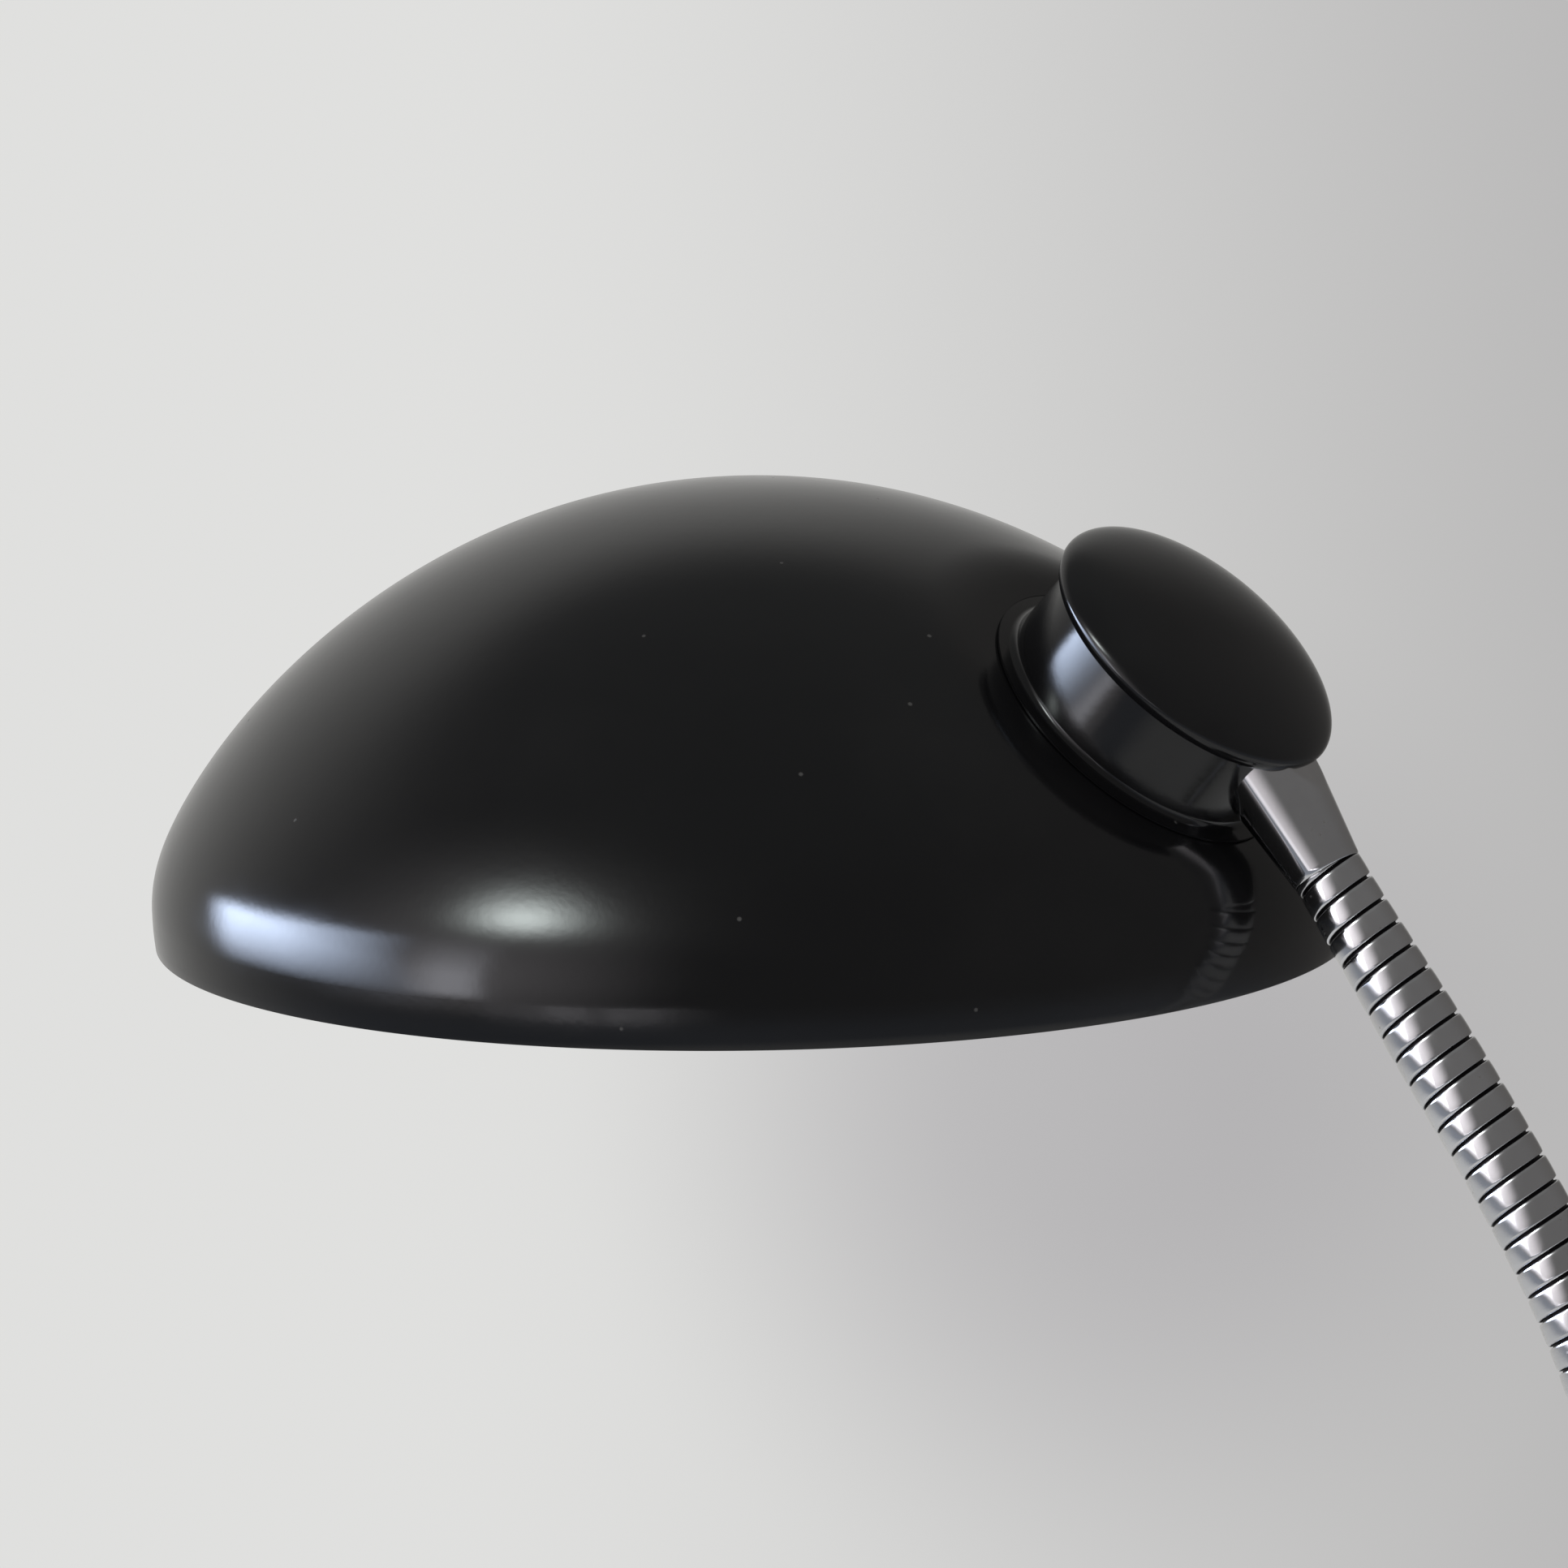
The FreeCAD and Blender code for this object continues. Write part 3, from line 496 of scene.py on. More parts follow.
def sheet_metal(name, work, place, wall, body, nodes, slot, cutters=()):
    """Give an open sheet its thickness, round its edges, and cut holes into it."""
    mesh = bpy.data.meshes.new(name)
    work.to_mesh(mesh)
    work.free()
    draft = bpy.data.objects.new(name + "_draft", mesh)
    bpy.context.scene.collection.objects.link(draft)
    solid = draft.modifiers.new("wall", "SOLIDIFY")
    solid.thickness = wall
    solid.offset = -1
    solid.material_offset = 1
    for cutter in cutters:
        hole = draft.modifiers.new("hole", "BOOLEAN")
        hole.object = cutter
        hole.solver = "EXACT"
    edge = draft.modifiers.new("edge", "BEVEL")
    edge.width = RIM_ROUND
    edge.segments = 3
    edge.limit_method = "ANGLE"
    edge.angle_limit = math.radians(60)
    mesh.materials.append(None)
    mesh.materials.append(None)
    bpy.context.view_layer.update()
    result = bpy.data.meshes.new_from_object(draft.evaluated_get(bpy.context.evaluated_depsgraph_get()))
    result.transform(place)
    for gone in (draft, *cutters):
        bpy.data.objects.remove(gone)
    return settle(name, result, body, nodes, slot)


def shade():
    """Spun dome with its flat and its hole under the joint housing."""
    work = dome_sheet((SHADE_RADIUS, SHADE_HEIGHT, SHADE_WAIST, SHADE_TUCK, SHADE_CROWN_FOOT),
                      steps=SHADE_STEPS, rings=SHADE_RINGS)
    seat = SHADE_SEAT - RIM_CENTRE
    press_softly(work, seat, HOUSING_AXIS, SEAT_SOFTNESS)
    hole = drill("shade_hole", seat, HOUSING_AXIS, SHADE_HOLE)
    return sheet_metal("shade_dome", work, Matrix.Translation(RIM_CENTRE), SHADE_WALL,
                       "shade", ["shade"], "black_enamel", [hole])


def base_dome():
    """Base shell with flats for the ferrule and the switch, and the hole of the cable inlet."""
    low, high = corners("base_shell")
    radius = (high.x - low.x) / 2
    lift = Vector((0, 0, low.z))
    ring_low, ring_high = corners("switch_ring")
    press = Vector(joint_of["switch_press"]["axis"]).normalized()
    seat = (ring_low + ring_high) / 2 + press * SWITCH_RING_DEPTH / 2
    bush_low, bush_high = corners("cable_bush")
    inlet = Vector((radius, 0, (bush_low.z + bush_high.z) / 2 - lift.z))
    top = Vector((0, 0, high.z - lift.z))
    work = dome_sheet((radius, top.z + BASE_SEAT_DROP, BASE_WAIST, BASE_TUCK, BASE_CROWN_FOOT),
                      [(top, Vector((0, 0, 1)), NIPPLE_RADIUS), (seat - lift, -press, SWITCH_HOLE)])
    return sheet_metal("base_dome", work, Matrix.Translation(lift), BASE_WALL, BASE, ["base_shell"],
                       "black_enamel", [drill("inlet", inlet, Vector((1, 0, 0)), INLET_RADIUS)])


# Head

HEAD_PLACE = facing(CAP_CENTRE, HOUSING_AXIS)


def housing_neck():
    """Collar between shade and cap, with a cove down to the thin flange at its foot."""
    foot = -NECK_LENGTH
    lower = NECK_RADIUS + NECK_SPREAD
    flare = NECK_FOOT - NECK_FOOT_LAND - lower
    edge = foot + NECK_FOOT_EDGE
    bottom = [(NECK_FOOT, foot), (NECK_FOOT, edge)]
    cove = arc_points((lower + flare, edge + flare), flare, 270, 180, 14)
    top = [(NECK_RADIUS, CAP_SEAT), (NECK_RADIUS - NECK_WALL, CAP_SEAT),
           (lower - NECK_WALL, foot + NECK_WALL), (BARREL_RADIUS, foot + NECK_WALL), (BARREL_RADIUS, foot)]
    profile = rounded(bottom, NECK_ROUND, 2) + cove + rounded(top, NECK_ROUND, 2)
    return lathe("joint_collar", profile, HEAD_PLACE, HEAD, ["housing_neck"], "black_enamel",
                 steps=CAP_STEPS)


def cap_curve(radius, crown, low, steps):
    """Shallow domed outline from its edge to its middle."""
    points = []
    for k in range(steps + 1):
        a = (k / steps) ** CREST_SPACING * math.pi / 2
        share = 2 / CAP_EXPONENT
        points.append((radius * max(math.cos(a), 0) ** share, low + crown * math.sin(a) ** share))
    points[-1] = (0, low + crown)
    return points


def housing_cap():
    """Mushroom cap, hollow, with a rounded lip."""
    lip = arc_points((CAP_RADIUS - CAP_LIP, 0), CAP_LIP, -90, 0, 12)
    outside = lip[:-1] + cap_curve(CAP_RADIUS, CAP_CROWN, 0, 60)
    inside = cap_curve(NECK_RADIUS + CAP_FIT, CAP_CROWN - CAP_WALL - CAP_SEAT, CAP_SEAT, 24)
    profile = outside + inside[::-1] + [(NECK_RADIUS + CAP_FIT, -CAP_LIP)]
    return lathe("joint_cap", profile, HEAD_PLACE, HEAD, ["housing_cap"], "black_enamel", steps=CAP_STEPS)


def ferrule_radius(distance):
    """Outer radius of a ferrule at a distance below its tip."""
    return FERRULE_TIP + (FERRULE_FOOT - FERRULE_TIP) * distance / FERRULE_LENGTH


def lesser(a, b, soft):
    """The lesser of two lengths, rounded over where they are near each other."""
    near = max(soft - abs(a - b), 0) / soft
    return min(a, b) - near * near * soft / 4


def head_ferrule():
    """Tapered sleeve whose foot follows the collar, filed level on top beside the cap."""
    along = Vector((math.cos(ENTRY_ANGLE), 0, -math.sin(ENTRY_ANGLE)))
    over = Vector((math.sin(ENTRY_ANGLE), 0, math.cos(ENTRY_ANGLE)))
    side = Vector((0, 1, 0))
    start = Vector((0, 0, -ENTRY_DROP))
    tip = ENTRY_REACH + FERRULE_LENGTH
    steps, rows = TURN_STEPS, FERRULE_ROWS
    verts, faces = [], []
    for k in range(steps):
        a = 2 * math.pi * k / steps
        out = over * math.cos(a) + side * math.sin(a)
        wide = ferrule_radius(tip - NECK_RADIUS)
        chord = math.sqrt(NECK_SADDLE ** 2 - (wide * math.sin(a)) ** 2)
        foot = (chord - wide * math.cos(a) * math.sin(ENTRY_ANGLE)) / math.cos(ENTRY_ANGLE)
        ring = []
        for row in range(rows + 1):
            s = foot + (tip - FERRULE_EDGE - foot) * row / rows
            ring.append((s, ferrule_radius(tip - s)))
        for step in range(1, 5):
            b = math.pi / 2 * step / 4
            ring.append((tip - FERRULE_EDGE * (1 - math.sin(b)),
                         FERRULE_TIP - FERRULE_EDGE * (1 - math.cos(b))))
        ring += [(tip, ARM_BORE), (foot, ARM_BORE)]
        for s, r in ring:
            if math.cos(a) > 0:
                level = (ENTRY_DROP + s * math.sin(ENTRY_ANGLE)) / (math.cos(ENTRY_ANGLE) * math.cos(a))
                r = lesser(r, level, FILED_SOFTNESS)
            verts.append(HEAD_PLACE @ (start + along * s + out * r))
    count = len(verts) // steps
    for k in range(steps):
        after = (k + 1) % steps
        for row in range(count):
            below = (row + 1) % count
            faces.append((k * count + row, after * count + row, after * count + below, k * count + below))
    return piece("head_sleeve", verts, faces, HEAD, ["head_ferrule"], "chrome")


def base_ferrule():
    """Tapered sleeve that stands on the base."""
    low, high = corners("base_ferrule")
    depth = high.z - low.z
    tip = arc_points((FERRULE_TIP - FERRULE_EDGE, -FERRULE_EDGE), FERRULE_EDGE, 0, 90, 4)
    grip = -(depth - NIPPLE_GRIP)
    profile = [(FERRULE_FOOT, -depth), (FERRULE_FOOT, -depth + FERRULE_EDGE)] + tip
    profile += [(ARM_BORE, 0), (ARM_BORE, grip), (NIPPLE_RADIUS, grip), (NIPPLE_RADIUS, -depth)]
    return lathe("base_sleeve", profile, Matrix.Translation((0, 0, high.z)), BASE, ["base_ferrule"], "chrome",
                 steps=SMALL_STEPS)


# Gooseneck

def band_radius(turns, radius):
    """Radius of the hose at a number of turns along its helix."""
    share = turns % 1
    share = min(share, 1 - share)
    depth = GROOVE_SHARES[-1][1]
    for (a, before), (b, after) in zip(GROOVE_SHARES, GROOVE_SHARES[1:]):
        if a <= share <= b:
            depth = before + (after - before) * (share - a) / (b - a)
            break
    return radius - depth * GROOVE_DEPTH


def hose_radius(place, total):
    """Radius over the bands at a length along the hose, which narrows towards the head."""
    narrow = max(0, 1 - (total - place) / ARM_TIP_RUN)
    return ARM_RADIUS + (ARM_TIP_RADIUS - ARM_RADIUS) * narrow * narrow * (3 - 2 * narrow)


def arm_route():
    """The gooseneck's hinges from the base up, and the runs of its middle line.

    A run is (start, direction, turn towards -X, length). It goes from the middle of one link to the
    middle of the next, bent evenly about the joint between them. The first and last are half a link.
    """
    low, high = corners("base_ferrule")
    start = Vector((0, 0, high.z))
    hinges = sorted((joint for joint in frame["joints"] if joint["type"] == "hinge"
                     and joint["name"] != "shade_swivel"), key=lambda joint: joint["pos_m"][2])
    points = [Vector(joint["pos_m"]) for joint in hinges]
    ways = [(points[0] - start).normalized()]
    ways += [(b - a).normalized() for a, b in zip(points, points[1:])]
    ways.append((CAP_CENTRE - HOUSING_AXIS * ENTRY_DROP - points[-1]).normalized())
    half = LINK_LENGTH / 2
    runs = [(start, ways[0], 0.0, half)]
    for point, before, after in zip(points, ways, ways[1:]):
        turn = before.angle(after)
        length = LINK_LENGTH if turn < STRAIGHT else half / math.tan(turn / 2) * turn
        runs.append((point - before * half, before, turn, length))
    runs.append((points[-1] + ways[-1] * half, ways[-1], 0.0, half))
    return hinges, runs


def arm_at(runs, place):
    """Point of the middle line at a length along it, and the way out of its bend there."""
    for start, way, turn, length in runs:
        if place <= length:
            break
        place -= length
    out = Vector((0, 1, 0)).cross(way).normalized()
    if not turn:
        return start + way * place, out
    bend = length / turn
    angle = place / bend
    swing = out * math.cos(angle) + way * math.sin(angle)
    return start + (swing - out) * bend, swing


def hose_link(number, runs, low, high, body, pivot):
    """One link of the ribbed hose, closed, with one groove that winds round it.

    A ball on its upper joint fills what opens between two links, and sits in the next link's socket.
    """
    side = Vector((0, 1, 0))
    around = HOSE_STEPS
    total = sum(run[3] for run in runs)
    shares = [share for share, _ in GROOVE_SHARES]
    offsets = sorted(set(shares) | {1 - share for share in shares if share})
    first = math.floor(low / BAND_PITCH) - 2
    last = math.ceil(high / BAND_PITCH) + 2

    def at(place, a, r):
        """Point at a length along the hose, an angle round it and a radius."""
        middle, normal = arm_at(runs, place)
        return middle + (normal * math.cos(a) + side * math.sin(a)) * r

    work = bmesh.new()
    depth_of = work.verts.layers.float.new("groove")
    grid = []
    for k in range(around):
        a = 2 * math.pi * k / around
        column = []
        for whole in range(first, last):
            for offset in offsets:
                place = (whole + offset + HELIX_HAND * k / around) * BAND_PITCH
                place = min(max(place, low), high)
                radius = hose_radius(place, total)
                reach = band_radius(place / BAND_PITCH - HELIX_HAND * k / around, radius)
                vertex = work.verts.new(at(place, a, reach))
                # Share of the groove's depth: the hose material darkens by it, partly as dirt and partly as
                # painted shade.
                vertex[depth_of] = (radius - reach) / GROOVE_DEPTH
                column.append(vertex)
        grid.append(column)
    rows = len(grid[0])
    for k in range(around):
        after = (k + 1) % around
        shift = 0 if after else HELIX_HAND * len(offsets)
        for row in range(rows - 1):
            other = row + shift
            if 0 <= other and other + 1 < rows:
                face = (grid[k][row], grid[after][other], grid[after][other + 1], grid[k][row + 1])
                work.faces.new(face)
    inside = [(low, ARM_BORE), (high, ARM_BORE)]
    if number:
        socket = hose_radius(low, total) - GROOVE_DEPTH - SOCKET_FIT
        inside = [(low, socket), (low + SOCKET_DEPTH, socket), (low + SOCKET_DEPTH, ARM_BORE), inside[1]]
    rings = [[column[0] for column in grid]]
    for place, r in inside:
        rings.append([work.verts.new(at(place, 2 * math.pi * k / around, r)) for k in range(around)])
    rings.append([column[-1] for column in grid])
    for ring, following in zip(rings, rings[1:]):
        for k in range(around):
            after = (k + 1) % around
            work.faces.new((ring[k], ring[after], following[after], following[k]))
    bmesh.ops.remove_doubles(work, verts=work.verts, dist=ON_PLANE)
    bmesh.ops.dissolve_degenerate(work, dist=SAME_POINT, edges=work.edges)
    loose = [v for v in work.verts if not v.link_faces]
    bmesh.ops.delete(work, geom=loose, context="VERTS")
    if pivot:
        middle, normal = arm_at(runs, high)
        ball = hose_radius(high, total) - GROOVE_DEPTH - PIVOT_FIT - (middle - pivot).length
        heights = [-PIVOT_FOOT + (PIVOT_FOOT + PIVOT_RISE) * k / 6 for k in range(7)]
        profile = [(ARM_BORE, -PIVOT_FOOT)] + [(math.sqrt(ball * ball - z * z), z) for z in heights]
        profile.append((ARM_BORE, PIVOT_RISE))
        verts, faces = lathe_mesh(profile, around, facing(pivot, normal.cross(side)))
        points = [work.verts.new(v) for v in verts]
        # Painted shade: the balls take the full groove value, so the gap between two links is darkened like a
        # groove bottom.
        for point in points:
            point[depth_of] = 1.0
        for face in faces:
            work.faces.new([points[k] for k in face])
    mesh = bpy.data.meshes.new(f"hose_{number:02d}")
    work.to_mesh(mesh)
    work.free()
    return settle(mesh.name, mesh, body, [f"gooseneck_link_{number + 1:02d}"], "chrome_hose")


def gooseneck():
    """The whole hose, link by link from the base to the head, each from joint to joint."""
    hinges, runs = arm_route()
    lengths = [run[3] for run in runs]
    ends = [0.0] + [sum(lengths[:k]) + lengths[k] / 2 for k in range(1, LINK_COUNT)] + [sum(lengths)]
    bodies = [BASE] + [hinge["child"] for hinge in hinges]
    pivots = [Vector(hinge["pos_m"]) for hinge in hinges] + [None]
    return [hose_link(k, runs, ends[k], ends[k + 1], bodies[k], pivots[k]) for k in range(LINK_COUNT)]


# Inside the shade

def node_place(node):
    """Head frame moved to the middle of a turned node."""
    low, high = corners(node)
    return facing((low + high) / 2, HOUSING_AXIS)


def shade_ring():
    """Threaded ring with flutes for the fingers."""
    def flutes(a, r, z):
        if r < RING_RADIUS - FLUTE_LAND:
            return 1
        return 1 - FLUTE_SHARE * max(0, math.cos(a * RING_FLUTES)) ** 3
    bore = BARREL_RADIUS + RING_FIT
    half = RING_DEPTH / 2
    corners_of = [(RING_RADIUS, -half), (RING_RADIUS, half), (bore, half), (bore, -half)]
    return lathe("shade_ring_fluted", rounded(corners_of, RING_ROUND), node_place("shade_ring"), HEAD,
                 ["shade_ring"], "bakelite", steps=RING_FLUTES * 12, ripple=flutes)


def bulb_globe():
    """Round bulb with its neck, as one closed outline."""
    low, high = corners("bulb_glass")
    centre = Vector((low.x + BULB_RADIUS, 0, low.z + BULB_RADIUS))
    join = math.asin(BULB_COLLAR / BULB_RADIUS)
    ball = arc_points((0, 0), BULB_RADIUS, -90, 90 - math.degrees(join), 48)
    ball[0] = (0, -BULB_RADIUS)
    top = (high - centre).dot(HOUSING_AXIS) - BULB_COLLAR * BULB_TOP_SHARE
    profile = ball + [(BULB_COLLAR, top), (0, top)]
    return lathe("bulb_globe", profile, facing(centre, HOUSING_AXIS), HEAD, ["bulb_glass"], "opal_glass")


# Switch

def switch_frame(node, depth):
    """Frame of a switch part, Z out of the base from the part's foot."""
    low, high = corners(node)
    axis = -Vector(joint_of["switch_press"]["axis"]).normalized()
    return facing((low + high) / 2 - axis * depth / 2, axis)


def switch_nut():
    """Ring nut with a fine knurl."""
    outer, hole, depth = SWITCH_RING_RADIUS, SWITCH_HOLE, SWITCH_RING_DEPTH
    corners_of = [(hole, 0), (outer, 0), (outer, depth), (hole, depth)]

    def knurl(a, r, z):
        if r <= outer - KNURL_LAND:
            return 1
        return 1 - KNURL_SHARE * (0.5 + 0.5 * math.cos(a * KNURL_COUNT))
    return lathe("switch_nut", rounded(corners_of, SWITCH_RING_ROUND), switch_frame("switch_ring", depth),
                 BASE, ["switch_ring"], "chrome", steps=KNURL_COUNT * 8, ripple=knurl)


def switch_button():
    """Push button with a softly rounded end."""
    depth = BUTTON_DEPTH + BUTTON_HEIGHT
    crown = [(BUTTON_RADIUS, depth - BUTTON_ROUND)]
    crown += arc_points((BUTTON_RADIUS - BUTTON_ROUND, depth - BUTTON_ROUND), BUTTON_ROUND, 10, 80, 6)
    profile = [(0, 0), (BUTTON_RADIUS, 0)] + crown + [(0, depth)]
    return lathe("switch_button_cap", profile, switch_frame("switch_button", depth), "button",
                 ["switch_button"], "button_plastic", steps=SMALL_STEPS)


# Materials

def nodes_of(name, **values):
    """New material with its shader's own values set; returns it with its tree and shader."""
    material = bpy.data.materials.new(name)
    material.use_nodes = True
    tree = material.node_tree
    shader = tree.nodes["Principled BSDF"]
    for key, value in values.items():
        socket = shader.inputs[key.replace("_", " ")]
        socket.default_value = (*value, 1) if isinstance(value, tuple) and len(value) == 3 else value
    return material, tree, shader


def feed(tree, socket, value):
    if isinstance(value, bpy.types.NodeSocket):
        tree.links.new(value, socket)
    elif value is not None:
        socket.default_value = value


def place_in(tree, stretch=(1, 1, 1)):
    """The object's own coordinates in metres, stretched."""
    source = tree.nodes.new("ShaderNodeTexCoord").outputs["Object"]
    if stretch == (1, 1, 1):
        return source
    mapping = tree.nodes.new("ShaderNodeMapping")
    mapping.inputs["Scale"].default_value = stretch
    tree.links.new(source, mapping.inputs["Vector"])
    return mapping.outputs["Vector"]


def noise(tree, scale, detail=2.0, vector=None, rough=0.5):
    """Cloudy values between 0 and 1."""
    node = tree.nodes.new("ShaderNodeTexNoise")
    node.inputs["Scale"].default_value = scale
    node.inputs["Detail"].default_value = detail
    node.inputs["Roughness"].default_value = rough
    feed(tree, node.inputs["Vector"], vector or place_in(tree))
    return node.outputs["Fac"]


def cells(tree, scale, vector=None):
    """Distance from scattered points, with a random colour of each point."""
    node = tree.nodes.new("ShaderNodeTexVoronoi")
    node.inputs["Scale"].default_value = scale
    feed(tree, node.inputs["Vector"], vector or place_in(tree))
    return node.outputs["Distance"], node.outputs["Color"]


def ramp(tree, value, low, high, a=0.0, b=1.0, smooth=True):
    """Value taken from low..high to a..b and held outside."""
    node = tree.nodes.new("ShaderNodeMapRange")
    node.interpolation_type = "SMOOTHSTEP" if smooth else "LINEAR"
    for key, given in (("Value", value), ("From Min", low), ("From Max", high), ("To Min", a), ("To Max", b)):
        feed(tree, node.inputs[key], given)
    return node.outputs["Result"]


def maths(tree, kind, a, b=None):
    """One sum of a kind that Blender's Math node knows."""
    node = tree.nodes.new("ShaderNodeMath")
    node.operation = kind
    feed(tree, node.inputs[0], a)
    feed(tree, node.inputs[1], b)
    return node.outputs["Value"]


def mix(tree, share, a, b):
    """Mix of two colours."""
    node = tree.nodes.new("ShaderNodeMix")
    node.data_type = "RGBA"
    feed(tree, node.inputs["Factor"], share)
    sockets = [s for s in node.inputs if s.type == "RGBA"]
    for socket, value in zip(sockets, (a, b)):
        feed(tree, socket, (*value, 1) if isinstance(value, tuple) else value)
    return next(s for s in node.outputs if s.type == "RGBA")


def bump(tree, shader, height, distance, strength=1.0, under=None):
    """Relief on a shader, over another one if given."""
    node = tree.nodes.new("ShaderNodeBump")
    node.inputs["Strength"].default_value = strength
    node.inputs["Distance"].default_value = distance
    feed(tree, node.inputs["Height"], height)
    feed(tree, node.inputs["Normal"], under)
    tree.links.new(node.outputs["Normal"], shader.inputs["Normal"])
    return node.outputs["Normal"]


def specks(tree, scale, share, size):
    """Small dots on a share of the cells."""
    distance, colour = cells(tree, scale)
    split = tree.nodes.new("ShaderNodeSeparateColor")
    tree.links.new(colour, split.inputs["Color"])
    chosen = ramp(tree, split.outputs["Red"], 1 - share, 1 - share + 0.001, smooth=False)
    dot = ramp(tree, distance, size * 0.4, size, 1.0, 0.0)
    return maths(tree, "MULTIPLY", chosen, dot)


def enamel():
    """Black stoved enamel: a nearly smooth skin with faint orange peel, little dust and wiped haze."""
    material, tree, shader = nodes_of("black_enamel_gloss", Specular_IOR_Level=0.42)
    cloud = noise(tree, 18, 4)
    dust = specks(tree, 380, 0.012, 0.2)
    smear = ramp(tree, noise(tree, 46, 5, place_in(tree, (1, 1, 2.4))), 0.42, 0.7)
    tone = mix(tree, ramp(tree, cloud, 0.35, 0.7), (0.0035, 0.0035, 0.004), (0.0062, 0.006, 0.0064))
    dust = maths(tree, "MULTIPLY", dust, 0.3)
    feed(tree, shader.inputs["Base Color"], mix(tree, dust, tone, (0.16, 0.155, 0.15)))
    rough = ramp(tree, smear, 0, 1, 0.125, 0.16, smooth=False)
    feed(tree, shader.inputs["Roughness"], maths(tree, "ADD", rough, dust))
    first = bump(tree, shader, noise(tree, 620, 2), 0.03 * MM, 0.3)
    bump(tree, shader, noise(tree, 95, 1), 0.08 * MM, 0.25, first)
    return material


def inner_white():
    """White lining paint, a little uneven."""
    material, tree, shader = nodes_of("lining_white", Specular_IOR_Level=0.45)
    tone = mix(tree, ramp(tree, noise(tree, 24, 5), 0.3, 0.72), (0.72, 0.715, 0.69), (0.79, 0.785, 0.765))
    feed(tree, shader.inputs["Base Color"], mix(tree, specks(tree, 300, 0.03, 0.22), tone, (0.35, 0.33, 0.3)))
    feed(tree, shader.inputs["Roughness"], ramp(tree, noise(tree, 70, 3), 0.3, 0.7, 0.3, 0.42))
    bump(tree, shader, noise(tree, 520, 2), 0.04 * MM, 0.4)
    return material


def chrome(name, low, high, tint=(0.72, 0.72, 0.735), grooved=False):
    """Bright plating with a haze, fine hairlines and a few dull spots; dark in the grooves, partly dirt and
    partly painted shade.
    """
    material, tree, shader = nodes_of(name, Metallic=1.0)
    haze = ramp(tree, noise(tree, 60, 6), 0.35, 0.72)
    spots = specks(tree, 900, 0.04, 0.3)
    dull = tuple(v * 0.86 for v in tint)
    tone = mix(tree, haze, tint, dull)
    tone = mix(tree, maths(tree, "MULTIPLY", spots, 0.5), tone, (0.3, 0.28, 0.25))
    rough = maths(tree, "ADD", ramp(tree, haze, 0, 1, low, high), maths(tree, "MULTIPLY", spots, 0.25))
    if grooved:
        # Painted shade and dirt: the colour goes near black by groove depth, standing in for the shade that
        # falls in the grooves as well as dirt.
        depth = tree.nodes.new("ShaderNodeAttribute")
        depth.attribute_name = "groove"
        dirt_and_shade = ramp(tree, depth.outputs["Fac"], 0.12, 0.6)
        tone = mix(tree, dirt_and_shade, tone, (0.018, 0.016, 0.018))
        rough = maths(tree, "ADD", rough, maths(tree, "MULTIPLY", dirt_and_shade, 0.4))
    feed(tree, shader.inputs["Base Color"], tone)
    feed(tree, shader.inputs["Roughness"], rough)
    bump(tree, shader, noise(tree, 900, 3, place_in(tree, (1, 1, 0.25))), 0.006 * MM, 0.5)
    return material


def metal(name, tint, low, high, grain, depth, stain):
    """Metal with stained patches and its grain."""
    material, tree, shader = nodes_of(name, Metallic=1.0)
    mottle = ramp(tree, noise(tree, 55, 6), 0.38, 0.68)
    feed(tree, shader.inputs["Base Color"], mix(tree, mottle, tint, stain))
    feed(tree, shader.inputs["Roughness"], ramp(tree, mottle, 0, 1, low, high))
    bump(tree, shader, noise(tree, grain, 5), depth, 0.6)
    return material


def solid(name, tint, other, low, high, grain, depth):
    """Matt or polished non-metal with a mottled colour and its grain."""
    material, tree, shader = nodes_of(name, Specular_IOR_Level=0.5)
    mottle = ramp(tree, noise(tree, 38, 6), 0.34, 0.7)
    feed(tree, shader.inputs["Base Color"], mix(tree, mottle, tint, other))
    feed(tree, shader.inputs["Roughness"], ramp(tree, noise(tree, 80, 4), 0.3, 0.7, low, high))
    bump(tree, shader, noise(tree, grain, 5), depth, 0.7)
    return material


def felt():
    """Green-black wool felt."""
    material, tree, shader = nodes_of("felt_wool", Roughness=0.95, Sheen_Weight=0.4, Specular_IOR_Level=0.2)
    fibre = noise(tree, 900, 6, place_in(tree, (1, 3.5, 1)))
    fluff = noise(tree, 130, 5)
    feed(tree, shader.inputs["Base Color"], mix(tree, ramp(tree, fluff, 0.3, 0.7), (0.012, 0.03, 0.02),
                                                (0.03, 0.055, 0.04)))
    bump(tree, shader, fibre, 0.4 * MM, 0.8)
    return material


def opal():
    """Opal glass with a faint unevenness inside."""
    material, tree, shader = nodes_of("opal_glass_white", Specular_IOR_Level=0.5, Subsurface_Weight=0.35,
                                      Subsurface_Scale=4 * MM, Roughness=0.14)
    feed(tree, shader.inputs["Base Color"], mix(tree, ramp(tree, noise(tree, 60, 4), 0.3, 0.7),
                                                (0.8, 0.8, 0.78), (0.86, 0.86, 0.85)))
    bump(tree, shader, noise(tree, 160, 2), 0.03 * MM, 0.25)
    return material


